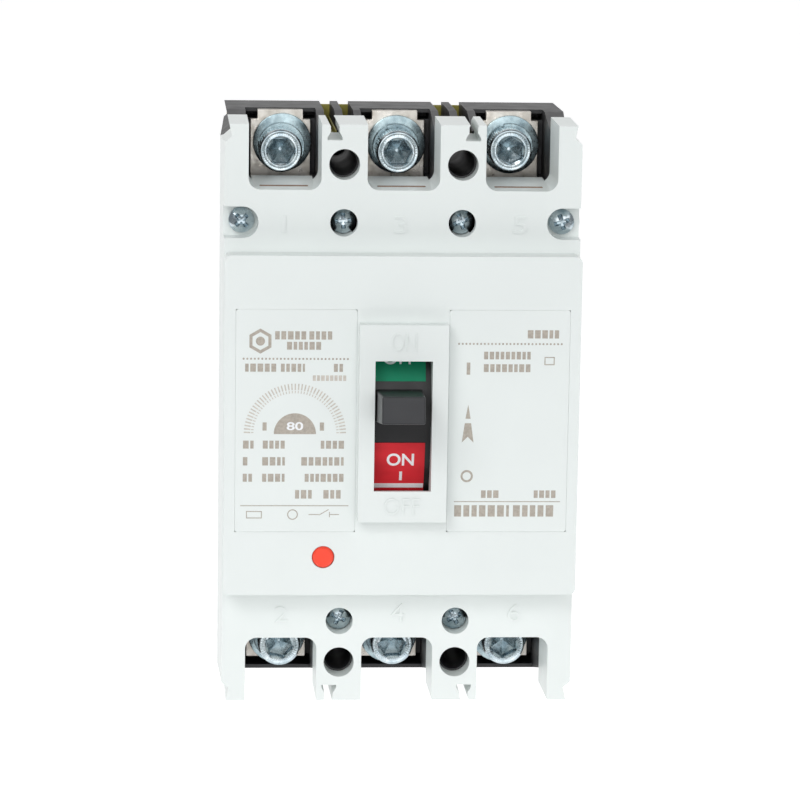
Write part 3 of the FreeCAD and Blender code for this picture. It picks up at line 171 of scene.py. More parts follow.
def mould_texture(material, roughness, grain, relief):
    """The surface a mould leaves: uneven gloss, soft waviness and a fine eroded texture."""
    roughened(material, noise(material, 5.0), roughness - 0.05, roughness + 0.06)
    bumped(material, [(noise(material, 14.0, 1.0), 0.02), (noise(material, grain, 2.0), relief)])


def moulding(name, colour, roughness, grain, relief=0.004, spread=0.03):
    """Moulded plastic with slow tone changes."""
    material = new_material(name, colour, roughness)
    tinted(material, noise(material, 22.0, 4.0), shades(colour, spread))
    mould_texture(material, roughness, grain, relief)
    return material


def handle_moulding():
    """Grained black plastic, greyer on the toggle the further forward it reaches."""
    shield, toggle = (0.005, 0.005, 0.006), (0.020, 0.021, 0.024)
    shield_depth, toggle_depth = 70.0, 76.0
    roughness = 0.42
    material = new_material("handle_moulding", toggle, roughness)
    place = add(material, "ShaderNodeTexCoord")
    axes = add(material, "ShaderNodeSeparateXYZ")
    reach = add(material, "ShaderNodeMapRange")
    reach.inputs["From Min"].default_value = -shield_depth * MM
    reach.inputs["From Max"].default_value = -toggle_depth * MM
    wire(material, place.outputs["Object"], axes.inputs["Vector"])
    wire(material, axes.outputs["Y"], reach.inputs["Value"])
    tinted(material, reach.outputs["Result"], [(0.0, shield), (1.0, toggle)])
    mould_texture(material, roughness, grain=0.4, relief=0.006)
    return material


def plated(name, colour, roughness, stain, stretch=(1.0, 1.0, 1.0)):
    """Plated metal: cloudy tarnish, drawn or brushed lines and small pits."""
    material = new_material(name, colour, roughness, metallic=1.0)
    tinted(material, noise(material, 3.2, 5.0), [(0.25, stain), (0.6, colour)])
    roughened(material, noise(material, 1.3, 4.0), roughness - 0.1, roughness + 0.14)
    bumped(material, [(noise(material, 0.5, 3.0, stretch), 0.012), (noise(material, 2.6, 2.0), 0.02)])
    return material


def laminate():
    """Olive pressed laminate with mottled fibres."""
    dark, light = (0.24, 0.21, 0.03), (0.42, 0.38, 0.08)
    material = new_material("olive_laminate", (0.33, 0.30, 0.055), 0.5)
    tinted(material, noise(material, 1.6, 6.0, (1.0, 1.0, 3.0)), [(0.25, dark), (0.75, light)])
    bumped(material, [(noise(material, 0.5, 3.0, (1.0, 1.0, 4.0)), 0.03)])
    return material


def fibre():
    """Brown vulcanised fibre with a paper-like grain."""
    brown = (0.24, 0.15, 0.10)
    material = new_material("fibre_board", brown, 0.75)
    tinted(material, noise(material, 1.2, 6.0), shades(brown, 0.25))
    bumped(material, [(noise(material, 0.3, 4.0), 0.02)])
    return material


def film(name, colour):
    """Printed label film: even colour with faint streaks and little gloss."""
    material = new_material(name, colour, 0.5)
    shader_of(material).inputs["Specular IOR Level"].default_value = 0.15
    tinted(material, noise(material, 4.0, 3.0, (3.0, 1.0, 1.0)), shades(colour, 0.1))
    roughened(material, noise(material, 2.0), 0.42, 0.56)
    bumped(material, [(noise(material, 0.8, 2.0), 0.004)])
    return material


def ink(name, colour, spread=0.12):
    """Pad-printed ink, slightly uneven in density."""
    material = new_material(name, colour, 0.55)
    tinted(material, noise(material, 0.6, 3.0), shades(colour, spread))
    bumped(material, [(noise(material, 0.25, 2.0), 0.004)])
    return material


# The finish of each material slot of the CAD.
FINISHES = {
    "black_moulding": moulding("black_moulding_body", (0.024, 0.024, 0.026), 0.5, grain=0.3,
                               relief=0.008, spread=0.08),
    "white_moulding": moulding("white_moulding_body", (0.735, 0.775, 0.76), 0.36, grain=0.5,
                               relief=0.002, spread=0.012),
    "insulating_sheet": laminate(),
    "handle_plastic": handle_moulding(),
    "red_label": film("red_film", (0.62, 0.026, 0.036)),
    "green_label": film("green_film", (0.004, 0.215, 0.11)),
    "button_plastic": moulding("button_moulding", (0.88, 0.065, 0.03), 0.35, grain=0.4, spread=0.04),
    "zinc_steel": plated("zinc_plate", (0.62, 0.69, 0.72), 0.2, (0.26, 0.35, 0.40)),
    "plated_copper": plated("silver_plate", (0.74, 0.71, 0.66), 0.34, (0.50, 0.46, 0.40),
                            (1.0, 1.0, 6.0)),
    "copper": plated("bare_copper", (0.72, 0.36, 0.22), 0.35, (0.42, 0.17, 0.10), (1.0, 1.0, 6.0)),
    "silver": plated("contact_silver", (0.80, 0.78, 0.74), 0.3, (0.45, 0.42, 0.38)),
    "steel": plated("pressed_steel", (0.50, 0.50, 0.50), 0.38, (0.30, 0.29, 0.28), (1.0, 1.0, 5.0)),
    "spring_steel": plated("drawn_wire", (0.40, 0.41, 0.43), 0.3, (0.22, 0.22, 0.23)),
    "fibre_board": fibre(),
}
DARK_ZINC = plated("zinc_plate_dark", (0.40, 0.50, 0.53), 0.24, (0.14, 0.20, 0.23))
# Lighter, glossier grey for the base's rounded edges: a painted highlight along the black plastic's
# corners.
PAINTED_HIGHLIGHT_BLACK = moulding("black_moulding_edge_painted_highlight", (0.10, 0.10, 0.105), 0.42, grain=0.3, relief=0.01,
                      spread=0.15)
PANEL_INK = ink("panel_ink", (0.40, 0.36, 0.31))
PALE_INK = ink("pale_ink", (0.54, 0.50, 0.45))
WHITE_INK = ink("white_ink", (0.80, 0.81, 0.83), 0.04)


# ---------------------------------------------------------------- mesh helpers

LARGEST_ROUNDING = 1.0


def as_object(name, mesh, materials, body):
    """Puts a mesh in the scene, riding on a body, with its finish."""
    piece = bpy.data.objects.new(name, mesh)
    scene.collection.objects.link(piece)
    mesh.materials.clear()
    for material in materials:
        mesh.materials.append(material)
    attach(piece, body)
    return piece


def finished(name, shape, materials, body, smooth_angle=40.0):
    """Turns a bmesh into a shaded piece."""
    bmesh.ops.recalc_face_normals(shape, faces=shape.faces)
    mesh = bpy.data.meshes.new(name)
    shape.to_mesh(mesh)
    shape.free()
    mesh.shade_smooth()
    mesh.set_sharp_from_angle(angle=math.radians(smooth_angle))
    return as_object(name, mesh, materials, body)


def is_outer_edge(edge, angle):
    """Whether an edge is a corner that sticks out by more than an angle."""
    return len(edge.link_faces) == 2 and edge.is_convex and edge.calc_face_angle(0.0) > angle


def softened(node, body, slot, rounding, edge_material=None, segments=3):
    """A copy of a CAD piece with its outer corners rounded, shown in its place. Rounding is a
    size in millimetres, or a function that gives one for an edge."""
    shape = bmesh.new()
    shape.from_mesh(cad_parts[node].data)
    bmesh.ops.remove_doubles(shape, verts=shape.verts, dist=0.002 * MM)
    bmesh.ops.dissolve_limit(shape, angle_limit=math.radians(0.6), verts=shape.verts,
                             edges=shape.edges)
    weight = shape.edges.layers.float.new("bevel_weight_edge")
    for edge in shape.edges:
        if is_outer_edge(edge, math.radians(30)):
            edge[weight] = (rounding(edge) if callable(rounding) else rounding) / LARGEST_ROUNDING
    mesh = bpy.data.meshes.new(node + "_softened")
    shape.to_mesh(mesh)
    shape.free()
    if "custom_normal" in mesh.attributes:
        mesh.attributes.remove(mesh.attributes["custom_normal"])
    mesh.shade_smooth()
    mesh.set_sharp_from_angle(angle=math.radians(40))
    materials = [FINISHES[slot]] + ([edge_material] if edge_material else [])
    piece = as_object(node + "_softened", mesh, materials, body)
    bevel = piece.modifiers.new("rounded", "BEVEL")
    bevel.limit_method = "WEIGHT"
    bevel.width = LARGEST_ROUNDING * MM
    bevel.segments = segments
    bevel.use_clamp_overlap = True
    bevel.miter_outer = "MITER_ARC"
    # The rounded faces take the edge material; on the base that is a painted highlight.
    if edge_material:
        bevel.material = 1
    normals = piece.modifiers.new("flats", "WEIGHTED_NORMAL")
    normals.keep_sharp = True
    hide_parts(node)


def lathe(shape, rings, segments, turn=0.0):
    """Adds a solid turned about the depth axis. Each of rings is a function that gives
    (radius, depth) in millimetres for an angle, or a number: a centre point's depth."""
    loops = []
    for place in rings:
        if not callable(place):
            loops.append([shape.verts.new(Vector((0, -place, 0)) * MM)])
            continue
        loop = []
        for i in range(segments):
            angle = 2 * math.pi * i / segments
            radius, depth = place(angle)
            direction = angle + turn
            loop.append(shape.verts.new(Vector((radius * math.sin(direction), -depth,
                                                radius * math.cos(direction))) * MM))
        loops.append(loop)
    for low, high in zip(loops, loops[1:]):
        for i in range(segments):
            corners = [low[i % len(low)], low[(i + 1) % len(low)],
                       high[(i + 1) % len(high)], high[i % len(high)]]
            shape.faces.new(list(dict.fromkeys(corners)))


def round_ring(radius, depth):
    """An even ring."""
    return lambda angle: (radius, depth)


def ridged_ring(radius, valley, depth, ridges):
    """A ring that goes in and out to make straight knurling."""
    return lambda angle: (radius if math.cos(ridges * angle) > 0 else valley, depth)


def hexagon_ring(across, depth):
    """A ring with six flats and a corner at angle zero."""
    def place(angle):
        part = (angle % (math.pi / 3)) - math.pi / 6
        return across / 2 / math.cos(part), depth
    return place


def cross_ring(half, reach, depth_at):
    """A plus-shaped ring whose depth follows the surface it is cut into."""
    def place(angle):
        across = max(abs(math.sin(angle)), abs(math.cos(angle)))
        along = min(abs(math.sin(angle)), abs(math.cos(angle)))
        radius = min(reach / across, half / max(along, 1e-6))
        return radius, depth_at(radius)
    return place


def prism(shape, outline, low, high):
    """Adds a closed slab over an outline of (x, z) points, between two depths."""
    back = [shape.verts.new(Vector((x, -low, z)) * MM) for x, z in outline]
    front = [shape.verts.new(Vector((x, -high, z)) * MM) for x, z in outline]
    shape.faces.new(back)
    shape.faces.new(front)
    for i in range(len(outline)):
        j = (i + 1) % len(outline)
        shape.faces.new([back[i], back[j], front[j], front[i]])


def bar(shape, x, z, low, high):
    """Adds a rectangular slab."""
    prism(shape, [(x[0], z[0]), (x[1], z[0]), (x[1], z[1]), (x[0], z[1])], low, high)


def arc_points(centre, radius, start, end, count):
    """Points along an arc, angles in degrees from straight up, clockwise."""
    points = []
    for i in range(count + 1):
        angle = math.radians(start + (end - start) * i / count)
        points.append((centre[0] + radius * math.sin(angle), centre[1] + radius * math.cos(angle)))
    return points


def disc(shape, centre, radius, low, high, count=40):
    prism(shape, arc_points(centre, radius, 0, 360, count)[:-1], low, high)


def ring(shape, centre, outer, inner, low, high, count=40):
    """Adds a flat ring as a run of short slabs."""
    for i in range(count):
        start, end = 360 * i / count, 360 * (i + 1) / count
        rim = arc_points(centre, outer, start, end, 1)
        bore = arc_points(centre, inner, start, end, 1)
        prism(shape, [rim[0], rim[1], bore[1], bore[0]], low, high)


def letters(shape, text, x, z, low, high, bold=0.0):
    """Adds plain characters scaled to fill a rectangle."""
    curve = bpy.data.curves.new("letters", "FONT")
    curve.body = text
    curve.extrude = 0.5
    curve.offset = bold
    carrier = bpy.data.objects.new("letters", curve)
    scene.collection.objects.link(carrier)
    bpy.context.view_layer.update()
    mesh = bpy.data.meshes.new_from_object(carrier.evaluated_get(
        bpy.context.evaluated_depsgraph_get()))
    bpy.data.objects.remove(carrier)
    points = [v.co.copy() for v in mesh.vertices]
    lowest = [min(p[i] for p in points) for i in range(3)]
    highest = [max(p[i] for p in points) for i in range(3)]
    targets = (x, z, (low, high))
    for vertex in mesh.vertices:
        share = [(vertex.co[i] - lowest[i]) / (highest[i] - lowest[i]) for i in range(3)]
        across, up, out = [t[0] + (t[1] - t[0]) * s for t, s in zip(targets, share)]
        vertex.co = Vector((across, -out, up)) * MM
    mesh.update()
    shape.from_mesh(mesh)
    bpy.data.meshes.remove(mesh)


# ---------------------------------------------------------------- housing

def cover_rounding(edge):
    """Wall ends are well rounded, the lids' seats are crisp, the rest is in between."""
    wall_end, lid_seat, elsewhere = 1.0, 0.04, 0.33
    least_wall_depth, seat_depth = 10.0, 1.3
    first, second = (vertex.co / MM for vertex in edge.verts)
    forward = abs(first.y - second.y) > least_wall_depth
    if forward and min(abs(first.z), abs(second.z)) > WALL_END:
        return wall_end
    beside_lid = all(abs(p.z) < LID_HALF_HEIGHT and LID_INNER < abs(p.x) < LID_OUTER
                     and -p.y > PANEL - seat_depth for p in (first, second))
    return lid_seat if beside_lid else elsewhere


def housing():
    """Base, cover and lids with moulded corners."""
    # The base's rounded edges carry the painted edge highlight.
    softened("base", "housing", "black_moulding", 0.3, PAINTED_HIGHLIGHT_BLACK)
    softened("cover", "housing", "white_moulding", cover_rounding, segments=5)
    softened("left_accessory_lid", "housing", "white_moulding", 0.05)
    softened("right_accessory_lid", "housing", "white_moulding", 0.05)
    softened("rear_insulating_plate", "housing", "insulating_sheet", 0.1)
    softened("gap_liners", "housing", "insulating_sheet", 0.05)


def vent_screens():
    """Strips of fibre board that show in the vents behind the terminals."""
    half_width = 6.1
    near, far = 56.5, 58.2
    back, front = 51.8, 53.5
    shape = bmesh.new()
    for x in POLES:
        for end in ENDS:
            heights = tuple(sorted((near * end, far * end)))
            bar(shape, (x - half_width, x + half_width), heights, back, front)
    finished("vent_screens", shape, [FINISHES["fibre_board"]], "housing")


def embossed_marks():
    """Raised pole numbers and handle positions moulded into the cover."""
    shape = bmesh.new()
    root, rise = 0.2, 0.3
    numbers = [("1", (-30.9, -29.7), (47.3, 51.5)), ("3", (-2.3, 1.1), (47.1, 51.5)),
               ("5", (27.9, 31.5), (47.2, 51.6)), ("2", (-31.6, -28.3), (-53.9, -49.8)),
               ("4", (-1.6, 1.8), (-53.9, -49.0)), ("6", (28.6, 31.8), (-53.9, -49.3))]
    for text, x, z in numbers:
        letters(shape, text, x, z, SHOULDER - root, SHOULDER + rise)
    for text, x, z in (("ON", (-3.2, 3.1), (18.7, 23.3)), ("OFF", (-4.6, 4.5), (-23.4, -19.1))):
        letters(shape, text, x, z, ESCUTCHEON - root, ESCUTCHEON + rise, -0.01)
    piece = finished("embossed_marks", shape, [FINISHES["white_moulding"]], "housing")
    bevel = piece.modifiers.new("rounded", "BEVEL")
    bevel.width = 0.07 * MM
    bevel.segments = 2
    bevel.angle_limit = math.radians(50)
    bevel.limit_method = "ANGLE"


# ---------------------------------------------------------------- panel printing

PRINT_RISE = 0.03
PRINTED = (PANEL - PRINT_RISE, PANEL + PRINT_RISE)


def blank_words(shape, chance, x, z, words):
    """Stands in for a line of print: a row of short plain bars, in words."""
    tall = z[1] - z[0]
    gap, word_gap = 0.2 * tall, 0.35 * tall
    edge = x[0]
    span = (x[1] - x[0]) / sum(words)
    for count in words:
        end = edge + span * count - word_gap
        while edge < end - gap:
            wide = min(end - edge, tall * chance.uniform(0.42, 0.7))
            bar(shape, (edge, edge + wide), z, *PRINTED)
            edge += wide + gap
        edge = end + word_gap


def dotted_line(shape, x, z, dots):
    """A row of small dots."""
    radius = 0.27
    for i in range(dots):
        centre = x[0] + (x[1] - x[0]) * i / (dots - 1)
        disc(shape, (centre, z), radius, *PRINTED, 10)


def dial(shape, centre):
    """The scale: two rows of radial ticks round the upper half."""
    ticks, end_angle = 45, 88
    rows = ((11.35, 12.95, 0.17), (10.5, 11.15, 0.11))
    for i in range(ticks):
        turn = math.radians(-end_angle + 2 * end_angle * i / (ticks - 1))
        for inner, outer, half in rows:
            along = Vector((math.sin(turn), math.cos(turn)))
            beside = Vector((along.y, -along.x)) * half
            middle = Vector(centre)
            corners = [middle + along * inner - beside, middle + along * inner + beside,
                       middle + along * outer + beside, middle + along * outer - beside]
            prism(shape, [tuple(corner) for corner in corners], *PRINTED)


def plain_badge(shape, centre, size):
    """A hexagonal frame round a dot, a mark that belongs to nobody."""
    for i in range(6):
        outer = arc_points(centre, size, 60 * i, 60 * i + 60, 1)
        inner = arc_points(centre, size * 0.72, 60 * i, 60 * i + 60, 1)
        prism(shape, [outer[0], outer[1], inner[1], inner[0]], *PRINTED)
    disc(shape, centre, size * 0.36, *PRINTED, 24)


def frame_line(shape, x, z, thick):
    """A rectangle drawn as a line."""
    inside = (z[0] + thick, z[1] - thick)
    bar(shape, x, (z[0], z[0] + thick), *PRINTED)
    bar(shape, x, (z[1] - thick, z[1]), *PRINTED)
    bar(shape, (x[0], x[0] + thick), inside, *PRINTED)
    bar(shape, (x[1] - thick, x[1]), inside, *PRINTED)


def schematic_symbols(shape):
    """Plain schematic shapes: a box, a ring and a switch contact."""
    wires = (-24.2, -24.0)
    frame_line(shape, (-39.4, -35.4), (-25.1, -23.2), 0.22)
    ring(shape, (-27.6, -24.1), 1.35, 1.1, *PRINTED)
    bar(shape, (-23.5, -20.9), wires, *PRINTED)
    bar(shape, (-18.2, -15.8), wires, *PRINTED)
    prism(shape, [(-21.0, -24.2), (-20.8, -24.3), (-18.4, -22.9), (-18.5, -22.7)], *PRINTED)
    bar(shape, (-18.3, -18.1), (-24.8, -23.4), *PRINTED)


def throw_arrow(shape, x):
    """A long arrow that points up over its notched tail."""
    prism(shape, [(x - 0.65, 0.75), (x + 0.65, 0.75), (x, 4.4)], *PRINTED)
    left = [(x - 0.8, -0.4), (x, -0.4), (x, -3.9), (x - 1.5, -5.4)]
    right = [(2 * x - across, up) for across, up in reversed(left)]
    prism(shape, left, *PRINTED)
    prism(shape, right, *PRINTED)


def left_panel():
    """Printing on the left lid: blank lines, a dial and a row of schematic symbols."""
    chance = random.Random(11)
    strong, faint = bmesh.new(), bmesh.new()
    middle = (-27.2, -3.3)
    plain_badge(strong, (-36.1, 20.5), 3.2)
    blank_words(strong, chance, (-32.4, -17.3), (20.95, 23.05), [4, 3])
    blank_words(strong, chance, (-29.4, -20.1), (18.35, 20.35), [4])
    dotted_line(strong, (-40.3, -14.0), 16.0, 29)
    blank_words(strong, chance, (-39.9, -24.1), (12.7, 14.75), [4, 3])
    blank_words(strong, chance, (-17.5, -13.7), (12.7, 14.75), [2])
    blank_words(faint, chance, (-22.8, -13.7), (10.4, 11.8), [5])
    dial(faint, middle)
    half_disc = arc_points(middle, 5.35, -90, 90, 36)
    prism(strong, half_disc, *PRINTED)
    blank_words(strong, chance, (-35.4, -33.0), (-2.4, -0.3), [2])
    blank_words(strong, chance, (-20.9, -19.1), (-2.4, -0.3), [1])
    rows = [(-7.05, -5.0), (-11.4, -9.25), (-15.6, -13.55), (-19.95, -17.75)]
    columns = [((-40.3, -36.9), (-35.3, -28.9), (-20.6, -14.0)),
               ((-40.3, -37.9), (-35.4, -28.9), (-25.5, -14.0)),
               ((-40.3, -37.0), (-35.4, -29.0), (-24.6, -14.0)),
               ((-40.3, -39.3), (-27.0, -22.0), (-19.8, -14.4))]
    for row, spans in zip(rows, columns):
        for x in spans:
            blank_words(strong, chance, x, row, [3])
    bar(strong, (-40.9, -13.4), (-21.92, -21.7), *PRINTED)
    schematic_symbols(strong)
    finished("left_panel_print", strong, [PANEL_INK], "housing")
    finished("left_panel_fine_print", faint, [PALE_INK], "housing")
    number = bmesh.new()
    letters(number, "80", (-29.3, -25.1), (-2.3, -0.2), PANEL + PRINT_RISE,
            PANEL + 2 * PRINT_RISE, 0.02)
    finished("dial_number", number, [WHITE_INK], "housing")


def right_panel():
    """Printing on the right lid: switch positions and blank lines."""
    chance = random.Random(23)
    shape = bmesh.new()
    blank_words(shape, chance, (31.5, 40.2), (21.45, 23.55), [4])
    dotted_line(shape, (14.1, 40.2), 20.0, 29)
    blank_words(shape, chance, (20.5, 33.7), (16.05, 18.0), [7])
    blank_words(shape, chance, (20.5, 33.7), (12.8, 14.8), [7])
    frame_line(shape, (35.9, 38.5), (14.6, 16.7), 0.25)
    bar(shape, (16.15, 17.05), (12.1, 15.2), *PRINTED)
    throw_arrow(shape, 16.72)
    ring(shape, (16.65, -14.1), 1.58, 1.05, *PRINTED)
    blank_words(shape, chance, (20.4, 26.3), (-19.75, -17.8), [3])
    blank_words(shape, chance, (33.9, 40.5), (-19.75, -17.8), [3])
    bar(shape, (13.5, 40.7), (-20.83, -20.61), *PRINTED)
    blank_words(shape, chance, (13.6, 40.7), (-24.6, -21.65), [5, 4])
    finished("right_panel_print", shape, [PANEL_INK], "housing")


# ---------------------------------------------------------------- handle

def wrapped(shape):
    """Rolls flat artwork onto the handle's shield, where z is the distance along the arc and
    depth the height above the labels."""
    for vertex in shape.verts:
        x, depth, along = vertex.co.x, -vertex.co.y / MM, vertex.co.z / MM
        radius = SHIELD_R + depth
        angle = along / SHIELD_R + math.radians(TRIP_ANGLE)
        vertex.co = Vector((x, -(PIVOT_DEPTH + radius * math.cos(angle)) * MM,
                            radius * math.sin(angle) * MM))


def along_shield(start, end):
    """The distances along the shield's arc of two angles in degrees."""
    per_degree = math.radians(SHIELD_R)
    return start * per_degree, end * per_degree


def handle_labels():
    """Raised print on the shield's labels: switch positions and a limit line."""
    shape = bmesh.new()
    low, high = 0.0, 0.05
    letters(shape, "ON", (-3.75, 3.2), along_shield(-23.7, -18.6), low, high, 0.02)
    bar(shape, (-0.42, 0.3), along_shield(-30.2, -26.3), low, high)
    bar(shape, (-6.9, 5.8), along_shield(-33.7, -31.7), low, high)
    letters(shape, "OFF", (-4.9, 3.4), along_shield(15.8, 21.0), low, high, 0.01)
    wrapped(shape)
    finished("shield_print", shape, [WHITE_INK], "handle_assembly")


# ---------------------------------------------------------------- terminals and screws

def bolt_shank(shape):
    """The threaded part of a terminal bolt, below its head."""
    radius, tip_radius = 4.0, 3.6
    tip, shoulder, top = -16.0, -15.4, 0.1
    rings = [tip, round_ring(tip_radius, tip), round_ring(radius, shoulder),
             round_ring(radius, top), top]
    lathe(shape, rings, 64)


def bolt_head(shape, turn):
    """A socket head: knurled rim, marked face and a hexagon socket that ends in the
    six-sided point left by the punch."""
    rim, valley, ridges = 5.6, 5.4, 48
    face = 8.0
    hexagon, hexagon_floor, punch_tip = 6.3, 4.9, 1.6
    foot = [0.0, round_ring(5.2, 0.0), round_ring(5.45, 0.25)]
    knurling = [ridged_ring(rim, valley, 0.5, ridges), ridged_ring(rim, valley, 7.0, ridges)]
    crown = [round_ring(5.55, 7.3), round_ring(5.5, 7.7), round_ring(5.15, 7.98),
             round_ring(4.95, face), ridged_ring(4.62, 4.45, face - 0.1, ridges),
             round_ring(4.2, face), round_ring(3.85, face)]
    socket = [hexagon_ring(hexagon + 0.25, 7.7), hexagon_ring(hexagon, 7.45),
              hexagon_ring(hexagon, hexagon_floor), hexagon_ring(0.8, 2.9),
              hexagon_ring(0.7, punch_tip), punch_tip]
    lathe(shape, foot + knurling + crown + socket, 192, turn)


def spring_washer(shape, turn):
    """A split ring that rises from one end of its gap to the other."""
    outer, inner, thick, rise, chamfer = 6.1, 4.6, 1.8, 0.18, 0.15
    half_gap = math.radians(4.5)
    steps = 72
    sections = []
    for i in range(steps + 1):
        angle = turn + half_gap + (2 * math.pi - 2 * half_gap) * i / steps
        lift = rise * i / steps
        corners = ((outer - chamfer, lift), (outer, lift + chamfer),
                   (outer, lift + thick - chamfer), (outer - chamfer, lift + thick),
                   (inner, lift + thick), (inner, lift))
        sections.append([shape.verts.new(Vector((r * math.sin(angle), -d, r * math.cos(angle))) * MM)
                         for r, d in corners])
    for first, second in zip(sections, sections[1:]):
        for i in range(len(first)):
            j = (i + 1) % len(first)
            shape.faces.new([first[i], first[j], second[j], second[i]])
    shape.faces.new(sections[0])
    shape.faces.new(sections[-1])


def flat_washer(shape):
    """A punched washer with a rolled upper edge and a burred lower one."""
    outer, inner, thick = 7.6, 4.5, FLAT_WASHER_THICK
    rings = [round_ring(inner, 0.0), round_ring(outer - 0.08, 0.0), round_ring(outer, 0.1),
             round_ring(outer, thick - 0.3), round_ring(outer - 0.1, thick - 0.08),
             round_ring(outer - 0.3, thick), round_ring(inner + 0.15, thick),
             round_ring(inner, thick - 0.15), round_ring(inner, 0.0)]
    lathe(shape, rings, 96)
    bmesh.ops.remove_doubles(shape, verts=shape.verts, dist=0.001 * MM)


def placed(shape, x, depth, z, tilt=(0.0, 0.0)):
    """Moves a shape drawn at the origin, tilted by some degrees about X and Z."""
    about_x = Matrix.Rotation(math.radians(tilt[0]), 4, "X")
    about_z = Matrix.Rotation(math.radians(tilt[1]), 4, "Z")
    move = Matrix.Translation(Vector((x, -depth, z)) * MM)
    bmesh.ops.transform(shape, matrix=move @ about_x @ about_z, verts=shape.verts)


# How far each washer and each bolt head sits off its hole's centre, across and along, and
# how far the head's socket is turned.
STACKS = {"line": [((0.5, 0.3), (-0.2, -0.9), 30), ((0.4, 0.0), (0.2, -1.0), 27),
                   ((0.3, 0.15), (-0.45, -0.45), 3)],
          "load": [((0.2, 0.0), (0.5, -0.3), -17), ((0.2, 0.0), (0.6, -0.2), 27),
                   ((0.2, 0.0), (0.45, -0.2), 3)]}


def stack_piece(name, shape, finish, node, smooth_angle=40.0):
    """Finishes one piece of a terminal stack that stands in for a CAD node."""
    made = finished(name, shape, [finish], "housing", smooth_angle)
    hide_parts(node)


def terminal_stack(place, x, z, washer, head, turn, chance):
    """Bolt, spring washer and flat washer on one terminal's hole."""
    shape = bmesh.new()
    bolt_head(shape, math.radians(turn))
    tilt = (chance.uniform(-0.5, 0.5), chance.uniform(-0.5, 0.5))
    placed(shape, x + head[0], HEAD_SEAT, z + head[1], tilt)
    stack_piece(f"bolt_head_{place}", shape, FINISHES["zinc_steel"], "terminal_bolts", 15)
    shape = bmesh.new()
    bolt_shank(shape)
    placed(shape, x, HEAD_SEAT, z)
    stack_piece(f"bolt_shank_{place}", shape, FINISHES["zinc_steel"], "terminal_bolts")
    shape = bmesh.new()
    spring_washer(shape, chance.uniform(0, 2 * math.pi))
    placed(shape, x + washer[0] / 2, STRAP_FRONT + FLAT_WASHER_THICK, z + head[1] / 2)
    stack_piece(f"spring_washer_{place}", shape, DARK_ZINC, "spring_washers")
    shape = bmesh.new()
    flat_washer(shape)
    placed(shape, x + washer[0], STRAP_FRONT, z + washer[1])
    stack_piece(f"flat_washer_{place}", shape, DARK_ZINC, "flat_washers")


def terminal_stacks():
    """The stacks of the six terminals, line end first."""
    chance = random.Random(5)
    for end in ENDS:
        side = "line" if end > 0 else "load"
        for number, (pole, (washer, head, turn)) in enumerate(zip(POLES, STACKS[side]), start=1):
            terminal_stack(f"{side}_{number}", pole, end * BOLT_Z, washer, head, turn, chance)


def pan_screw(shape, turn):
    """A domed screw head with a tapered cross recess, on a plain shank."""
    radius, tall, crown = 3.3, 2.2, 1.1
    shank, tip = 1.6, -27.0

    def dome(r):
        return tall - crown * (r / radius) ** 2

    rings = [tip, round_ring(1.1, tip), round_ring(shank, tip + 1.0), round_ring(shank, 0.0),
             round_ring(radius - 0.1, 0.0), round_ring(radius, 0.15), round_ring(radius, 0.8),
             round_ring(3.2, dome(3.2) - 0.03), round_ring(2.9, dome(2.9)),
             round_ring(2.4, dome(2.4)), cross_ring(0.58, 2.05, dome),
             cross_ring(0.48, 1.9, lambda r: dome(r) - 0.35),
             cross_ring(0.36, 1.15, lambda r: 0.75), 0.6]
    lathe(shape, rings, 96, turn)


def cover_screws():
    """The six screws that hold the cover, each stopped at its own angle."""
    chance = random.Random(17)
    outer, inner = 40.8, 15.0
    line_row, load_row = 49.7, -53.6
    places = [(side * outer, line_row) for side in SIDES]
    places += [(side * inner, z) for side in SIDES for z in (line_row, load_row)]
    for number, (x, z) in enumerate(places, start=1):
        shape = bmesh.new()
        pan_screw(shape, chance.uniform(0, math.pi / 2))
        placed(shape, x, SCREW_SEAT, z)
        made = finished(f"cover_screw_{number}", shape, [FINISHES["zinc_steel"]], "housing",
                        35)
        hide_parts("cover_screws")


def straps():
    """Terminal straps with sheared and slightly rolled edges."""
    for number in (1, 2, 3):
        for kind in ("line", "load"):
            softened(f"{kind}_terminal_{number}", "housing", "plated_copper", 0.2)


# ---------------------------------------------------------------- carried-over CAD

def dress_cad():
    """Gives every CAD node that stays in view the finish of its slot."""
    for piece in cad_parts.values():
        for slot in piece.material_slots:
            key = next((k for k in FINISHES if slot.material.name.startswith(k)), None)
            if key:
                slot.material = FINISHES[key]


# ---------------------------------------------------------------- stage, lights and camera

def stage():
    """A wide pale floor some way below the breaker, in a white room."""
    half, near_edge, drop = 9.0, -0.3, 0.08
    level = cad_box[0][2] - drop
    outline = ((-half, near_edge), (half, near_edge), (half, half), (-half, half))
    shape = bmesh.new()
    shape.faces.new([shape.verts.new((x, y, level)) for x, y in outline])
    mesh = bpy.data.meshes.new("floor")
    shape.to_mesh(mesh)
    shape.free()
    floor = bpy.data.objects.new("floor", mesh)
    scene.collection.objects.link(floor)
    pale = new_material("floor_paper", (0.95, 0.95, 0.95), 0.9)
    shader_of(pale).inputs["Emission Color"].default_value = (1.0, 1.0, 1.0, 1.0)
    shader_of(pale).inputs["Emission Strength"].default_value = 0.45
    bumped(pale, [(noise(pale, 2.0, 3.0), 0.02)])
    mesh.materials.append(pale)
    scene.world = white_room()


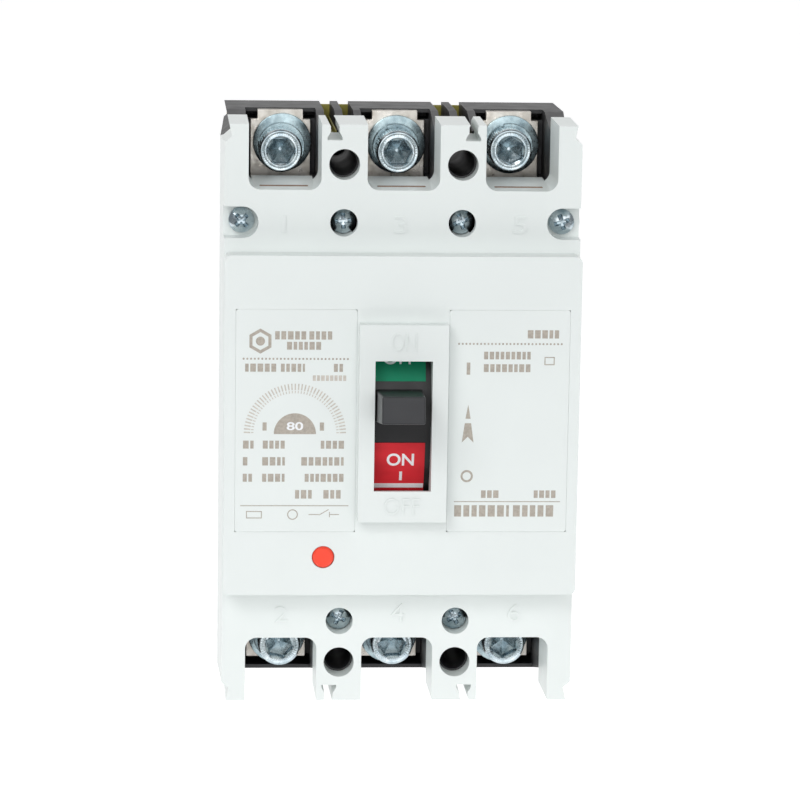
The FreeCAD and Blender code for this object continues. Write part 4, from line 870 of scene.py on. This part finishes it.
def white_room():
    """Surroundings that are white behind the breaker and greyer behind the camera."""
    world = bpy.data.worlds.new("white_room")
    world.use_nodes = True
    background = world.node_tree.nodes["Background"]
    background.inputs["Strength"].default_value = 0.95
    place = add(world, "ShaderNodeTexCoord")
    axes = add(world, "ShaderNodeSeparateXYZ")
    fade = add(world, "ShaderNodeMapRange")
    fade.inputs["From Min"].default_value = -0.3
    fade.inputs["From Max"].default_value = 0.6
    ramp = add(world, "ShaderNodeValToRGB")
    ramp.color_ramp.elements[0].color = (0.30, 0.305, 0.315, 1.0)
    ramp.color_ramp.elements[1].color = (1.0, 1.0, 1.0, 1.0)
    wire(world, place.outputs["Generated"], axes.inputs["Vector"])
    wire(world, axes.outputs["Y"], fade.inputs["Value"])
    wire(world, fade.outputs["Result"], ramp.inputs["Fac"])
    wire(world, ramp.outputs["Color"], background.inputs["Color"])
    return world


def lamp(name, place, size, power):
    """A soft light aimed at the breaker's middle."""
    light = bpy.data.lights.new(name, "AREA")
    light.shape = "RECTANGLE"
    light.size = size[0]
    light.size_y = size[1]
    light.energy = power
    holder = bpy.data.objects.new(name, light)
    scene.collection.objects.link(holder)
    holder.location = place
    holder.rotation_euler = (-Vector(place)).to_track_quat("-Z", "Y").to_euler()


def lights():
    """A key light from the upper left, a strip from the right and a large even front light."""
    lamp("key_softbox", (-0.55, -0.85, 0.75), (0.5, 0.5), 3.7)
    lamp("side_softbox", (0.75, -0.8, 0.25), (0.3, 0.8), 0.9)
    lamp("front_softbox", (-0.1, -1.35, 0.45), (1.8, 1.3), 11.0)


def camera():
    """The photographer's place: nearly straight ahead, a little above and to the left."""
    place = Vector((-63.95, -946.51, 161.92)) * MM
    pitch, yaw, roll = math.radians(10.068), math.radians(-4.121), math.radians(0.871)
    forward = Vector((-math.sin(yaw) * math.cos(pitch), math.cos(yaw) * math.cos(pitch),
                      -math.sin(pitch)))
    level = Vector((math.cos(yaw), math.sin(yaw), 0.0))
    upright = level.cross(forward)
    right = level * math.cos(roll) + upright * math.sin(roll)
    up = upright * math.cos(roll) - level * math.sin(roll)
    lens = bpy.data.cameras.new("photographer")
    lens.lens = 159.0
    lens.sensor_width = 36.0
    lens.dof.use_dof = False
    holder = bpy.data.objects.new("photographer", lens)
    scene.collection.objects.link(holder)
    turn = Matrix((right, up, -forward)).transposed().to_4x4()
    holder.matrix_world = Matrix.Translation(place) @ turn
    scene.camera = holder


dress_cad()
housing()
vent_screens()
embossed_marks()
left_panel()
right_panel()
handle_labels()
straps()
terminal_stacks()
cover_screws()
stage()
lights()
camera()
scene.view_settings.view_transform = "Standard"
